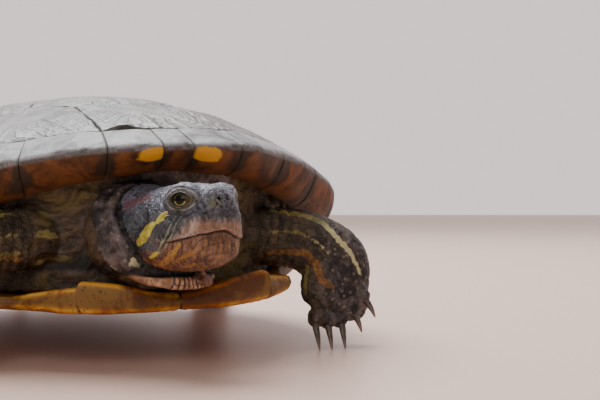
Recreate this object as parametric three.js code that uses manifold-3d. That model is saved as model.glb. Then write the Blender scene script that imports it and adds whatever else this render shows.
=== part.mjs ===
// A life-size red-eared slider turtle, standing with its head half drawn into the neck skin.
// Millimetres, +Z up, floor at z = 0. The head points along -Y and the animal's left side is +X.
//
// The shell is built in its own frame: x to the animal's left, y to its tail, z up from the
// underside of the plastron. That frame is raised, pitched nose-up and rolled to the right.
// Flesh pieces are built straight in the part frame, about the middle of the shell.

import * as THREE from 'three';
import { mergeVertices } from 'three/addons/utils/BufferGeometryUtils.js';
import Module from 'manifold-3d';

const wasm = await Module();
wasm.setup();

// ---------------------------------------------------------------- driving dimensions

const SHELL_HEIGHT = 64;        // plastron underside to the top of the dome
const SHELL_CLEARANCE = 9.5;    // floor to the plastron at mid length
const SHELL_PITCH = 3;          // degrees, front end up
const SHELL_ROLL = 2;           // degrees, right side down
const SCUTE_THICKNESS = 5;
const SEAM_GAP = 0.5;           // between neighbouring scutes
const FIT_GAP = 0.45;           // between flesh and its neighbours
const BOX_MIDDLE = [0, -0.6];   // middle of the whole animal's outline, from the shell's middle

const SEAM_RING = 0.88;         // share of the outline where marginals meet the inner scutes
const MARGINAL_ROOT = SEAM_RING + 0.006;
const NUCHAL_HALF = 4;          // along the rim
const FIRST_MARGINAL = 14;
const SECOND_MARGINAL = 24;
const MARGINALS = 12;

const HEAD_YAW = 17;            // degrees to the animal's left
const SNOUT = [1.5, -119.5];      // x, y of the snout tip
const EYE_BACK = 7.4;           // eye centre, behind the snout tip
const EYE_OUT = 5.3;
const EYE_UP = 41.9;
const EYE_RADIUS = 3.8;
const LID_THICKNESS = 1;
const LID_OPENING = [2.6, 3.4, 2.5]; // half depth, half length and half height
const GAZE = [0.93, -0.32, 0.16];    // out, back and up

// ---------------------------------------------------------------- small helpers

const rad = THREE.MathUtils.degToRad;
const lerp = THREE.MathUtils.lerp;
const signedPower = (value, power) => Math.sign(value) * Math.abs(value) ** power;

// A smooth curve through [position, value] stations.
function through(stations) {
  const curve = new THREE.CubicInterpolant(
    stations.map((s) => s[0]), stations.map((s) => s[1]), 1, new Float64Array(1));
  const [low, high] = [stations[0][0], stations.at(-1)[0]];
  return (at) => curve.evaluate(THREE.MathUtils.clamp(at, low, high))[0];
}

// Turns a geometry into one closed surface of bare positions that faces outwards.
function sealed(geometry) {
  geometry.deleteAttribute('normal');
  geometry.deleteAttribute('uv');
  const merged = mergeVertices(geometry, 1e-4);
  const at = merged.attributes.position;
  const kept = [];
  let volume = 0;
  for (let i = 0; i < merged.index.count; i += 3) {
    const [a, b, c] = [0, 1, 2].map((k) => merged.index.getX(i + k));
    if (a === b || b === c || c === a) continue;
    const [p, q, r] = [a, b, c].map((k) => new THREE.Vector3().fromBufferAttribute(at, k));
    volume += p.dot(q.cross(r));
    kept.push(a, b, c);
  }
  if (volume < 0) kept.reverse();
  merged.setIndex(kept);
  return merged;
}

// Moves every vertex of a primitive by a function, then seals it.
function reshaped(geometry, move) {
  const at = geometry.attributes.position;
  for (let i = 0; i < at.count; i++) {
    const moved = move(new THREE.Vector3().fromBufferAttribute(at, i));
    at.setXYZ(i, moved.x, moved.y, moved.z);
  }
  return sealed(geometry);
}

const toSolid = (geometry) => new wasm.Manifold(new wasm.Mesh({
  numProp: 3,
  vertProperties: geometry.attributes.position.array,
  triVerts: new Uint32Array(geometry.index.array),
}));

function toGeometry(solid) {
  const mesh = solid.getMesh();
  return new THREE.BufferGeometry()
    .setAttribute('position', new THREE.BufferAttribute(mesh.vertProperties, 3))
    .setIndex(new THREE.BufferAttribute(mesh.triVerts, 1));
}

// The geometry less each of the others, as its largest piece.
function cutBy(geometry, ...others) {
  const solid = others.reduce((left, other) => left.subtract(toSolid(other)), toSolid(geometry));
  return toGeometry(solid.decompose().sort((a, b) => b.volume() - a.volume())[0]);
}

const joined = (...geometries) => toGeometry(
  geometries.map(toSolid).reduce((all, solid) => all.add(solid)));

// A tube through stations of [centre, half size across, half size along `side`], with
// rounded ends. `grow` adds to its half sizes all round.
function limb(stations, side, { around = 14, rings = 14, power = 1, grow = 0 } = {}) {
  const centres = new THREE.CatmullRomCurve3(stations.map(([c]) => new THREE.Vector3(...c)));
  const sizes = new THREE.CatmullRomCurve3(
    stations.map(([, across, along]) => new THREE.Vector3(across, along, 0)));
  const lengthwise = new THREE.Vector3();
  return reshaped(new THREE.SphereGeometry(1, around, rings), (p) => {
    const t = Math.acos(THREE.MathUtils.clamp(p.y, -1, 1)) / Math.PI;
    const turn = Math.atan2(p.z, p.x);
    const cap = (1 - Math.abs(2 * t - 1) ** 5) ** 0.5;
    centres.getTangent(t, lengthwise);
    const along = new THREE.Vector3(...side).projectOnPlane(lengthwise).normalize();
    const across = new THREE.Vector3().crossVectors(lengthwise, along);
    const size = sizes.getPoint(t);
    const reach = grow * (2 * t - 1) * (1 - cap);
    return centres.getPoint(t)
      .addScaledVector(lengthwise, reach)
      .addScaledVector(across, (size.x + grow) * cap * signedPower(Math.cos(turn), power))
      .addScaledVector(along, (size.y + grow) * cap * signedPower(Math.sin(turn), power));
  });
}

// ---------------------------------------------------------------- shell surfaces

// Distance of the rim from the middle in plan, by degrees from the front: a blunt front,
// straight flanks back to the widest place, a round rear with a shallow notch over the tail.
const rimReach = through([
  [0, 100], [10, 99.8], [23.5, 90.5], [39.5, 85.5], [55.5, 84], [70, 79], [90, 76],
  [105, 78.5], [125, 85.5], [142, 90], [160, 95.5], [172, 99], [180, 98]]);
// Heights of the rim, by degrees from the front.
const rimHeight = through([
  [0, 41.5], [18, 40.5], [36, 37.2], [54, 30.8], [70, 24.4], [88, 20.8], [110, 20], [140, 22.5], [180, 26]]);
// How far the marginals' underside drops below the rim, to the ridge where the skin begins.
const undersideDrop = through([[0, 6], [20, 8.5], [36, 10.5], [60, 11], [90, 9], [120, 5.5], [150, 5], [180, 5]]);
const undersideShare = through([[0, 0.9], [60, 0.905], [90, 0.93], [120, 0.93], [180, 0.9]]);
// Outline of the flesh inside the shell, as a share of the shell's outline.
const fleshShare = through([[0, 0.82], [25, 0.85], [50, 0.82], [90, 0.8], [135, 0.76], [180, 0.8]]);

// Plan point of the rim, by degrees from the front towards the animal's left.
const rimPoint = (angle) => new THREE.Vector2(Math.sin(rad(angle)), -Math.cos(rad(angle)))
  .multiplyScalar(rimReach(180 - Math.abs(Math.abs(angle) - 180)));

// Degrees from the front, and share of the way out to the rim, of a plan point.
function polar(x, y) {
  const angle = THREE.MathUtils.radToDeg(Math.atan2(Math.abs(x), -y));
  return [angle, Math.hypot(x, y) / rimReach(angle)];
}

function domeHeight(x, y) {
  const [angle, share] = polar(x, y);
  const rim = rimHeight(angle);
  const power = 2 + 0.5 * Math.sin(rad(angle)) ** 2;
  return rim + (SHELL_HEIGHT - rim) * (1 - Math.min(share, 1) ** power);
}

const LOBE_HALF = 45;            // half width of the plastron where its lobes meet the bridge
const BRIDGE_OUT = 63.5;         // half width over the bridges
const BRIDGE_RISE = 8;

// Underside of the plastron: flat in the middle, lobes turned up, bridges rising to the marginals.
function plastronUnderside(x, y) {
  const out = Math.abs(x);
  const lobe = 3.4 * (Math.min(out, LOBE_HALF) / 40) ** 3;
  const bridge = BRIDGE_RISE * (Math.max(0, out - LOBE_HALF) / (BRIDGE_OUT - LOBE_HALF)) ** 1.2;
  const tail = 4 * THREE.MathUtils.smoothstep(y, 40, 95);
  return lobe * (0.35 + 0.65 * Math.min(1, Math.abs(y + 5) / 80)) + bridge + tail;
}
const lipRise = (x, y) => 2.2 * Math.min(1, Math.abs(x) / 24) * THREE.MathUtils.smoothstep(-y, 70, 95);
const plastronTop = (x, y) => plastronUnderside(x, y) + 4.4 + lipRise(x, y);

// ---------------------------------------------------------------- scutes

// Plan point at u, v of a patch between four curves: two sides run along v, two ends along u.
function coons([start, end, left, right]) {
  return (u, v) => {
    const ruled = left(v).multiplyScalar(1 - u).addScaledVector(right(v), u)
      .addScaledVector(start(u), 1 - v).addScaledVector(end(u), v);
    return ruled
      .addScaledVector(start(0), -(1 - u) * (1 - v)).addScaledVector(start(1), -u * (1 - v))
      .addScaledVector(end(0), -(1 - u) * v).addScaledVector(end(1), -u * v);
  };
}

// A line through plan points, each stretch taking an equal share.
function route(...points) {
  const corners = points.map(([x, y]) => new THREE.Vector2(x, y));
  const stretches = corners.length - 1;
  return (share) => {
    const i = Math.min(Math.floor(share * stretches), stretches - 1);
    return corners[i].clone().lerp(corners[i + 1], share * stretches - i);
  };
}

// An arc of the seam ring, or of another share of the outline, between two angles.
const ringArc = (from, to, share = SEAM_RING) =>
  (t) => rimPoint(lerp(from, to, t)).multiplyScalar(share);

// A plate between an upper and a lower surface over u and v, drawn in by half a seam all round.
function plate(upper, lower, [width, length], along = 4, across = 4) {
  const [insetU, insetV] = [SEAM_GAP / 2 / width, SEAM_GAP / 2 / length];
  return reshaped(new THREE.BoxGeometry(1, 1, 1, along, across, 1), (p) => {
    const u = lerp(insetU, 1 - insetU, p.x + 0.5);
    const v = lerp(insetV, 1 - insetV, p.y + 0.5);
    return (p.z > 0 ? upper : lower)(u, v);
  });
}

function patchSize(plan) {
  const size = (a, b) => plan(...a).distanceTo(plan(...b));
  return [size([0, 0.5], [1, 0.5]), size([0.5, 0], [0.5, 1])];
}

function domePlate(sides, along, across) {
  const plan = coons(sides);
  const at = (drop) => (u, v) => {
    const { x, y } = plan(u, v);
    return new THREE.Vector3(x, y, domeHeight(x, y) - drop);
  };
  return plate(at(0), at(SCUTE_THICKNESS), patchSize(plan), along, across);
}

function plastronPlate(sides, along, across) {
  const plan = coons(sides);
  const at = (height) => (u, v) => {
    const { x, y } = plan(u, v);
    return new THREE.Vector3(x, y, height(x, y));
  };
  return plate(at(plastronTop), at(plastronUnderside), patchSize(plan), along, across);
}

// The seams between marginals, in degrees from the front, spaced along the rim.
function marginalSeams() {
  const steps = 1440;
  const lengths = [0];
  for (let i = 1; i <= steps; i++) {
    const [a, b] = [rimPoint((180 * (i - 1)) / steps), rimPoint((180 * i) / steps)];
    lengths.push(lengths.at(-1) + a.distanceTo(b));
  }
  const front = [NUCHAL_HALF, NUCHAL_HALF + FIRST_MARGINAL];
  front.push(front.at(-1) + SECOND_MARGINAL);
  const rest = (lengths.at(-1) - front.at(-1)) / (MARGINALS - 2);
  const marks = [...front];
  for (let i = 1; i <= MARGINALS - 2; i++) marks.push(front.at(-1) + rest * i);
  return marks.map((mark) => {
    const i = lengths.findIndex((length) => length >= mark - 1e-6);
    return (180 * (i < 0 ? steps : i)) / steps;
  });
}
const SEAMS = marginalSeams();

// A marginal scute between two angles: upper face out to the rim, then back under to a ridge.
function marginalPlate(from, to, along = 2) {
  const RIDGE_AT = 0.45;
  const spot = (angle, share, z) => {
    const { x, y } = rimPoint(angle).multiplyScalar(share);
    return new THREE.Vector3(x, y, z);
  };
  const upper = (u, v) => {
    const angle = lerp(from, to, u);
    const share = lerp(MARGINAL_ROOT, 1, v);
    const { x, y } = rimPoint(angle).multiplyScalar(share);
    return spot(angle, share, domeHeight(x, y) - (v > 0.99 ? 1.2 : 0));
  };
  const lower = (u, v) => {
    const angle = lerp(from, to, u);
    const bend = Math.abs(angle);
    const inner = rimPoint(angle).multiplyScalar(MARGINAL_ROOT);
    const ridge = spot(angle, undersideShare(bend), rimHeight(bend) - undersideDrop(bend));
    const root = spot(angle, MARGINAL_ROOT, domeHeight(inner.x, inner.y) - SCUTE_THICKNESS);
    if (root.z < ridge.z + 1) root.z = ridge.z + 1;
    const edge = spot(angle, 0.985, rimHeight(bend) - 2.8);
    return v < RIDGE_AT
      ? root.lerp(ridge, v / RIDGE_AT)
      : ridge.lerp(edge, (v - RIDGE_AT) / (1 - RIDGE_AT));
  };
  const arc = rimPoint(from).distanceTo(rimPoint(to));
  return plate(upper, lower, [arc, 1e6], along, 4);
}

// Corners of the vertebral scutes: half width at each cross seam and at each side corner.
const CROSS_SEAMS = [[14, -56], [14, -20], [14, 16], [12, 50]];
const SIDE_CORNERS = [[22, -38], [23, -2], [22, 33]];

// Ring angles where the costal seams and the vertebral ends meet the marginals.
const COSTAL_RING = [SEAMS[1], 58, 88, 118, 150];
const CORNER_SHARE = 0.3;       // of the ring of an end costal that counts as its end side

function vertebralSides(i) {
  const mirror = ([x, y]) => [-x, y];
  const ringAt = (angle) => rimPoint(angle).multiplyScalar(SEAM_RING).toArray();
  const front = i === 0 ? ringAt(COSTAL_RING[0]) : CROSS_SEAMS[i - 1];
  const rear = i === 4 ? ringAt(COSTAL_RING[4]) : CROSS_SEAMS[i];
  const corner = i > 0 && i < 4 ? [SIDE_CORNERS[i - 1]] : [];
  const leftSide = [front, ...corner, rear];
  const start = i === 0 ? ringArc(-COSTAL_RING[0], COSTAL_RING[0]) : route(mirror(front), front);
  const end = i === 4 ? ringArc(360 - COSTAL_RING[4], COSTAL_RING[4]) : route(mirror(rear), rear);
  return [start, end, route(...leftSide.map(mirror)), route(...leftSide)];
}

// Sides of costal j on the animal's left; the right one is its mirror image.
function costalSides(j) {
  const ringAt = (angle) => rimPoint(angle).multiplyScalar(SEAM_RING).toArray();
  const [from, to] = [COSTAL_RING[j], COSTAL_RING[j + 1]];
  if (j === 0) {
    const turn = lerp(from, to, CORNER_SHARE);
    return [ringArc(from, turn), route(SIDE_CORNERS[0], ringAt(to)),
      route(ringAt(from), CROSS_SEAMS[0], SIDE_CORNERS[0]), ringArc(turn, to)];
  }
  if (j === 3) {
    const turn = lerp(to, from, CORNER_SHARE);
    return [route(SIDE_CORNERS[2], ringAt(from)), ringArc(to, turn),
      route(SIDE_CORNERS[2], CROSS_SEAMS[3], ringAt(to)), ringArc(from, turn)];
  }
  return [route(SIDE_CORNERS[j - 1], ringAt(from)), route(SIDE_CORNERS[j], ringAt(to)),
    route(SIDE_CORNERS[j - 1], CROSS_SEAMS[j], SIDE_CORNERS[j]), ringArc(from, to)];
}

// The plastron's left-hand scutes, from the front: midline seams, then each outer edge.
const MIDLINE = [-96, -74, -50, -26, 18, 56, 80];
const PLASTRON_SCUTES = {
  gular: [route([0, -96], [13, -96.5]), route([0, -74], [26, -93]),
    route([0, -96], [0, -74]), route([13, -96.5], [26, -93])],
  humeral: [route([0, -74], [26, -93]), route([0, -50], [LOBE_HALF, -56]),
    route([0, -74], [0, -50]), route([26, -93], [36, -84], [42, -70], [LOBE_HALF, -56])],
  pectoral: [route([0, -50], [LOBE_HALF, -56], [BRIDGE_OUT - 6, -44]), route([0, -26], [BRIDGE_OUT, -12]),
    route([0, -50], [0, -26]), route([BRIDGE_OUT - 6, -44], [BRIDGE_OUT, -12])],
  abdominal: [route([0, -26], [BRIDGE_OUT, -12]), route([0, 18], [LOBE_HALF - 1, 40], [BRIDGE_OUT - 1, 33]),
    route([0, -26], [0, 18]), route([BRIDGE_OUT, -12], [BRIDGE_OUT - 1, 33])],
  femoral: [route([0, 18], [LOBE_HALF - 1, 40]), route([0, 56], [38, 74]),
    route([0, 18], [0, 56]), route([LOBE_HALF - 1, 40], [43, 58], [38, 74])],
  anal: [route([0, 56], [38, 74]), route([0, 80], [14, 91]),
    route([0, 56], [0, 80]), route([38, 74], [28, 86], [14, 91])],
};

// ---------------------------------------------------------------- materials

const finish = (color, roughness, name) =>
  Object.assign(new THREE.MeshStandardMaterial({ color, roughness, metalness: 0 }), { name });
const CARAPACE = finish(0x6b6558, 0.45, 'carapace_scute');
const MARGINAL = finish(0x74603e, 0.45, 'marginal_scute');
const PLASTRON = finish(0xa4691f, 0.4, 'plastron_scute');
const SKIN = finish(0x3f3a2e, 0.65, 'skin');
const EYE = finish(0x8a8a3c, 0.1, 'eye');

const part = (name, geometry, material) => {
  const mesh = new THREE.Mesh(geometry, material);
  mesh.name = name;
  return mesh;
};

// ---------------------------------------------------------------- the shell

const shell = new THREE.Group();
shell.rotation.set(-rad(SHELL_PITCH), -rad(SHELL_ROLL), 0);
shell.position.z = SHELL_CLEARANCE;
shell.updateMatrix();

const mirrored = (geometry) => sealed(geometry.clone().scale(-1, 1, 1));

shell.add(part('nuchal_scute', marginalPlate(-SEAMS[0], SEAMS[0]), MARGINAL));
for (let i = 0; i < MARGINALS; i++) {
  const plateLeft = marginalPlate(SEAMS[i], SEAMS[i + 1]);
  shell.add(part(`marginal_left_${i + 1}`, plateLeft, MARGINAL));
  shell.add(part(`marginal_right_${i + 1}`, mirrored(plateLeft), MARGINAL));
}
for (let i = 0; i < 5; i++)
  shell.add(part(`vertebral_${i + 1}`, domePlate(vertebralSides(i), 4, 4), CARAPACE));
for (let j = 0; j < 4; j++) {
  const plateLeft = domePlate(costalSides(j), 4, 4);
  shell.add(part(`costal_left_${j + 1}`, plateLeft, CARAPACE));
  shell.add(part(`costal_right_${j + 1}`, mirrored(plateLeft), CARAPACE));
}
for (const [name, sides] of Object.entries(PLASTRON_SCUTES)) {
  const plateLeft = plastronPlate(sides, 4, 6);
  shell.add(part(`${name}_left`, plateLeft, PLASTRON));
  shell.add(part(`${name}_right`, mirrored(plateLeft), PLASTRON));
}

// ---------------------------------------------------------------- the trunk inside the shell

// From the top pole down: under the dome, down the skin that hangs in from the rim to the
// waist of each opening, in over the plastron.
const SKIN_ROOT = 0.872;
function trunk() {
  const TOP_END = 0.4;
  const WALL_END = 0.6;
  const ROOF_GAP = 0.9;
  const FLOOR_GAP = 1.3;
  const WAIST_IN = 0.03;
  return reshaped(new THREE.SphereGeometry(1, 28, 10), (p) => {
    const t = Math.acos(THREE.MathUtils.clamp(p.y, -1, 1)) / Math.PI;
    const angle = THREE.MathUtils.radToDeg(Math.atan2(p.z, p.x));
    const waist = fleshShare(Math.abs(angle)) - WAIST_IN;
    const { x, y } = rimPoint(angle);
    const roof = (share) => domeHeight(share * x, share * y) - SCUTE_THICKNESS - ROOF_GAP;
    const floor = (share) => plastronTop(share * x, share * y) + FLOOR_GAP;
    if (t <= TOP_END + 1e-6) {
      const share = (SKIN_ROOT * t) / TOP_END;
      return new THREE.Vector3(share * x, share * y, roof(share));
    }
    if (t >= WALL_END - 1e-6) {
      const share = (waist * (1 - t)) / (1 - WALL_END);
      return new THREE.Vector3(share * x, share * y, floor(share));
    }
    const share = lerp(SKIN_ROOT, waist, Math.sin(Math.PI / 4));
    return new THREE.Vector3(share * x, share * y, (roof(SKIN_ROOT) + floor(waist)) / 2);
  });
}

// ---------------------------------------------------------------- head and neck

const headFrame = new THREE.Matrix4()
  .makeRotationZ(rad(HEAD_YAW))
  .setPosition(SNOUT[0], SNOUT[1], 0);

// Sections behind the snout tip: distance, half width, height of the crown and of the throat.
const HEAD_STATIONS = [
  [0, 4.2, 42.6, 31], [1.2, 6.4, 44.4, 28], [3.5, 8, 45.5, 26.4], [7, 9.4, 45.9, 25.6],
  [11, 10.6, 46.1, 24.9], [16, 11.7, 45.8, 24.1], [22, 12, 45, 23.4], [28, 11.4, 43.8, 23.6], [35, 9.5, 42, 25]];
const HEAD_LENGTH = HEAD_STATIONS.at(-1)[0];
const headHalf = through(HEAD_STATIONS.map((s) => [s[0], s[1]]));
const headCrown = through(HEAD_STATIONS.map((s) => [s[0], s[2]]));
const headThroat = through(HEAD_STATIONS.map((s) => [s[0], s[3]]));

function headSurface(grow = 0) {
  const BLUNTNESS = 3.2;
  return reshaped(new THREE.SphereGeometry(1, 16, 13), (p) => {
    const t = Math.acos(THREE.MathUtils.clamp(p.y, -1, 1)) / Math.PI;
    const turn = Math.atan2(p.z, p.x);
    const back = HEAD_LENGTH * (t < 0.5 ? 2 * t * t : 1 - 2 * (1 - t) ** 2);
    const cap = Math.sin(Math.min(Math.PI / 2, BLUNTNESS * Math.PI * Math.min(t, 1 - t)));
    const [half, crown, throat] = [headHalf(back) + grow, headCrown(back) + grow, headThroat(back) - grow];
    const up = Math.sin(turn);
    const cheek = 1 - 0.16 * Math.max(0, up);
    const x = half * cap * signedPower(Math.cos(turn), 0.85) * cheek;
    const z = (crown + throat) / 2 + ((crown - throat) / 2) * cap * signedPower(up, 0.8);
    const shift = grow * (t < 0.5 ? -1 : 1) * (1 - cap);
    return new THREE.Vector3(x, back + shift, z).applyMatrix4(headFrame);
  });
}

const eyeball = (side, grow = 0) => reshaped(
  new THREE.SphereGeometry(EYE_RADIUS + grow, 12, 7),
  (p) => p.add(new THREE.Vector3(side * EYE_OUT, EYE_BACK, EYE_UP)).applyMatrix4(headFrame));

// The slot between the lids, in front of an eyeball.
const lidOpening = (side) => reshaped(new THREE.SphereGeometry(1, 10, 6), (p) => p
  .multiply(new THREE.Vector3(...LID_OPENING))
  .add(new THREE.Vector3(...GAZE).multiplyScalar(EYE_RADIUS))
  .add(new THREE.Vector3(EYE_OUT, EYE_BACK, EYE_UP))
  .multiply(new THREE.Vector3(side, 1, 1))
  .applyMatrix4(headFrame));

const head = cutBy(
  joined(headSurface(), eyeball(1, LID_THICKNESS), eyeball(-1, LID_THICKNESS)),
  eyeball(1, FIT_GAP), eyeball(-1, FIT_GAP), lidOpening(1), lidOpening(-1));

// The neck skin, rolled up in a collar round the back of the head.
const atHead = (out, back, up) => new THREE.Vector3(out, back, up).applyMatrix4(headFrame).toArray();
const NECK_STATIONS = [
  [atHead(0, 19.5, 33.3), 12.4, 11], [atHead(0, 22.5, 34), 13.8, 11.8],
  [atHead(0, 27, 34.4), 14.8, 12.6], [atHead(0, 33, 34.4), 14.2, 12.6], [[-4, -74, 33.5], 13, 12.6]];
const neckWhole = (grow = 0) => limb(NECK_STATIONS, [1, 0.2, 0], { around: 16, rings: 8, grow });
const neck = cutBy(neckWhole(), headSurface(FIT_GAP));

// ---------------------------------------------------------------- limbs and tail

// A claw that grows inside the toe, bends over at the knuckle and ends blunt at the tip.
function claw(from, knuckle, tip, radius) {
  const root = from.map((value, i) => lerp(value, knuckle[i], 0.6));
  return limb([[root, radius, radius], [knuckle, radius, radius], [tip, radius * 0.5, radius * 0.5]],
    [1, 0.3, 0.1], { around: 6, rings: 4 });
}

// A slab under the floor: what reaches below is cut to a flat at z = 0.
const BELOW_FLOOR = sealed(new THREE.BoxGeometry(600, 600, 40).translate(0, 0, -20));

// A leg with its foot, and the slightly larger leg that makes room for it in the trunk.
function standing(stations, side, toes) {
  const leg = (grow) => limb(stations, side, { around: 12, rings: 9, grow });
  return { flesh: cutBy(foot(leg(0), toes), neckWhole(FIT_GAP)), socket: leg(FIT_GAP) };
}

function foot(leg, toes) {
  const pieces = toes.flatMap(({ from, knuckle, tip, thick }) => [
    limb([[from, thick, thick], [knuckle, thick, thick * 0.9]], [1, 0.2, 0], { around: 6, rings: 4 }),
    claw(from, knuckle, tip, thick * 0.6),
  ]);
  return cutBy(joined(leg, ...pieces), BELOW_FLOOR);
}

// The forelimb held out to the side, its broad forearm facing forward. `side` is +1 on the left.
function forelimb(side, forward, root) {
  const at = (x, y, z) => [side * x, y + forward, z];
  const stations = [
    root, [at(36, -62, 31.6), 8.6, 8], [at(49, -65, 30), 8.8, 7.4], [at(57.5, -67, 23.5), 10.4, 6.8],
    [at(56.5, -69, 16.5), 10.8, 5.8], [at(55.5, -71, 11.5), 10.8, 4.8], [at(54.5, -72.5, 8.6), 9.6, 3.4]];
  const TOES = [[-7.6, 6.8, -7.6, -0.4], [-3, 6.2, -2.9, -0.4], [1.9, 6.4, 2, -0.4], [6, 8.2, 6.6, 2.2],
    [9.2, 12.4, 10.4, 6.6]];
  return standing(stations, [0, 1, 0], TOES.map(([out, up, tipOut, tipUp]) => ({
    from: at(55 + 0.8 * out, -71.5, up + 4),
    knuckle: at(55 + out, -74.5, up),
    tip: at(55 + tipOut, -78, tipUp),
    thick: 2.4,
  })));
}

// The hind limb: thigh out of the rear opening, shank back, foot flat on the floor.
function hindlimb(side, forward, kneeLift) {
  const at = (x, y, z) => [side * x, y + forward, z + kneeLift * THREE.MathUtils.smoothstep(z, 4, 16)];
  const stations = [
    [at(24, 46, 23), 5.6, 8.5], [at(38, 48, 22.6), 5, 9.5], [at(51, 49, 19.9), 4.4, 9.5], [at(61, 52, 13), 4.1, 8.5],
    [at(66, 59, 10.5), 5.2, 7], [at(69, 66, 7), 4.8, 7], [at(72, 74, 4.4), 3.4, 8.5], [at(75, 81, 2.8), 2.2, 8.5]];
  const TOES = [[-7.5, 80, -9.5, 85], [-3, 83, -4, 89], [2, 84, 2.2, 90.5], [6.8, 82, 8, 88]];
  return standing(stations, [1, -0.35, 0], TOES.map(([out, back, tipOut, tipBack]) => ({
    from: at(74 + 0.6 * out, back - 8, 4),
    knuckle: at(76.5 + out, back, 2.4),
    tip: at(77.5 + tipOut, tipBack, 0),
    thick: 2.1,
  })));
}

const forelimbs = {
  left: forelimb(1, 0, [[24, -58, 31.4], 8.5, 8]),
  right: forelimb(-1, -6, [[-22, -68, 33], 11, 10]),
};
const hindlimbs = { left: hindlimb(1, -4, 1.4), right: hindlimb(-1, 2, -1.8) };
const TAIL_STATIONS = [
  [[0, 68, 22.5], 6.2, 7.5], [[0, 83, 19.4], 5.2, 6], [[2, 97, 15], 3.8, 4], [[5, 109, 10.5], 2.4, 2.6],
  [[9, 119, 7.5], 1.2, 1.2]];
const tail = (grow = 0) => limb(TAIL_STATIONS, [1, 0, 0], { around: 10, rings: 9, grow });

// ---------------------------------------------------------------- the animal

// The trunk gives way to what grows from it, each with a hair's gap.
const trunkInPlace = trunk().applyMatrix4(shell.matrix);
const body = cutBy(trunkInPlace, neckWhole(FIT_GAP), tail(FIT_GAP),
  ...[...Object.values(forelimbs), ...Object.values(hindlimbs)].map((leg) => leg.socket));

const turtle = new THREE.Group();
turtle.add(shell,
  part('trunk', body, SKIN),
  part('neck', neck, SKIN),
  part('head', head, SKIN),
  part('eye_left', eyeball(1), EYE),
  part('eye_right', eyeball(-1), EYE),
  part('tail', tail(), SKIN));
for (const side of ['left', 'right']) {
  turtle.add(part(`forelimb_${side}`, forelimbs[side].flesh, SKIN));
  turtle.add(part(`hindlimb_${side}`, hindlimbs[side].flesh, SKIN));
}
turtle.position.set(-BOX_MIDDLE[0], -BOX_MIDDLE[1], 0);

export default turtle;
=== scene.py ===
import math

import bpy
import numpy as np
from mathutils import Matrix, Vector


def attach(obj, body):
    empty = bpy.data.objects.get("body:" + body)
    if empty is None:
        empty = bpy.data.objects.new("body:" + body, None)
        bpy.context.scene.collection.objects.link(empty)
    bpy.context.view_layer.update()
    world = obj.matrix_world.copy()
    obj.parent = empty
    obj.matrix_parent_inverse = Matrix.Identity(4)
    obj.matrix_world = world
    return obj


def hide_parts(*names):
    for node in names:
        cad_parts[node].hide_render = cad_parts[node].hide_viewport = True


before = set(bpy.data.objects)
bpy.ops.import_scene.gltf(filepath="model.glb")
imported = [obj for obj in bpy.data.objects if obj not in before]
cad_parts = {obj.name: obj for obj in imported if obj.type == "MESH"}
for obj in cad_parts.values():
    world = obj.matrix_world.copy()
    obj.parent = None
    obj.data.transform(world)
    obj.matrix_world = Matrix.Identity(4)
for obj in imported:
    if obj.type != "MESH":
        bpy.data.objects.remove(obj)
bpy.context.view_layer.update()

# A red-eared slider turtle at life size, standing with its head half drawn into its neck skin.
# The animal's sizes are in millimetres, in the frame of the solids: the head points along -Y, its
# left is +X and the floor is z = 0. The shell and the head have frames of their own, turned and
# moved. The stage and the lamps are in metres.

MM = 0.001

SHELL_HEIGHT = 64.0
SHELL_CLEARANCE = 9.5
SHELL_PITCH = 3.0
SHELL_ROLL = 2.0
MIDDLE = Vector((0.0, 0.6, 0.0))     # middle of the shell from the middle of the whole animal
SEAM_RING = 0.88
MARGINAL_ROOT = 0.886
SEAM_GAP = 0.12
SCUTE_THICKNESS = 3.4

CAMERA_SPOT = (-102.7, -377.4, 42.0)
CAMERA_TURN = 25.6                   # degrees from the animal's own axis
LENS = 72.0                          # on a 36 mm wide frame


# ------------------------------------------------------------------ curves and surfaces

def through(stations):
    """A smooth curve through (place, value) stations, level beyond them."""
    at, value = np.array(stations, float).T
    secant = np.diff(value) / np.diff(at)
    slope = np.concatenate([secant[:1], (secant[1:] + secant[:-1]) / 2, secant[-1:]])

    def curve(place):
        x = np.clip(place, at[0], at[-1])
        i = np.clip(np.searchsorted(at, x, side="right") - 1, 0, len(at) - 2)
        step = at[i + 1] - at[i]
        p = (x - at[i]) / step
        q = 1 - p
        return (value[i] * q * q * (1 + 2 * p) + value[i + 1] * p * p * (1 + 2 * q)
                + step * p * q * (q * slope[i] - p * slope[i + 1]))

    return curve


rim_reach = through([
    (0, 100), (10, 99.8), (23.5, 90.5), (39.5, 85.5), (55.5, 84), (70, 79), (90, 76),
    (105, 78.5), (125, 85.5), (142, 90), (160, 95.5), (172, 99), (180, 98)])
rim_height = through([
    (0, 41.5), (18, 40.5), (36, 37.2), (54, 30.8), (70, 24.4), (88, 20.8), (110, 20),
    (140, 22.5), (180, 26)])
underside_drop = through([
    (0, 6), (20, 8.5), (36, 10.5), (60, 11), (90, 9), (120, 5.5), (150, 5), (180, 5)])
underside_share = through([(0, 0.9), (60, 0.905), (90, 0.93), (120, 0.93), (180, 0.9)])


def rim_point(angle, share=1.0):
    """Plan point of the shell's rim, by degrees from the front towards the animal's left."""
    turn = np.radians(angle)
    reach = rim_reach(180 - np.abs(np.abs(angle) - 180)) * share
    return np.stack([np.sin(turn) * reach, -np.cos(turn) * reach], -1)


def dome_height(x, y):
    angle = np.degrees(np.arctan2(np.abs(x), -y))
    share = np.minimum(np.hypot(x, y) / rim_reach(angle), 1)
    rim = rim_height(angle)
    return rim + (SHELL_HEIGHT - rim) * (1 - share ** (2 + 0.5 * np.sin(np.radians(angle)) ** 2))


LOBE_HALF = 45.0
BRIDGE_OUT = 63.5
BRIDGE_RISE = 8.0
PLASTRON_THICKNESS = 4.4


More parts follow.
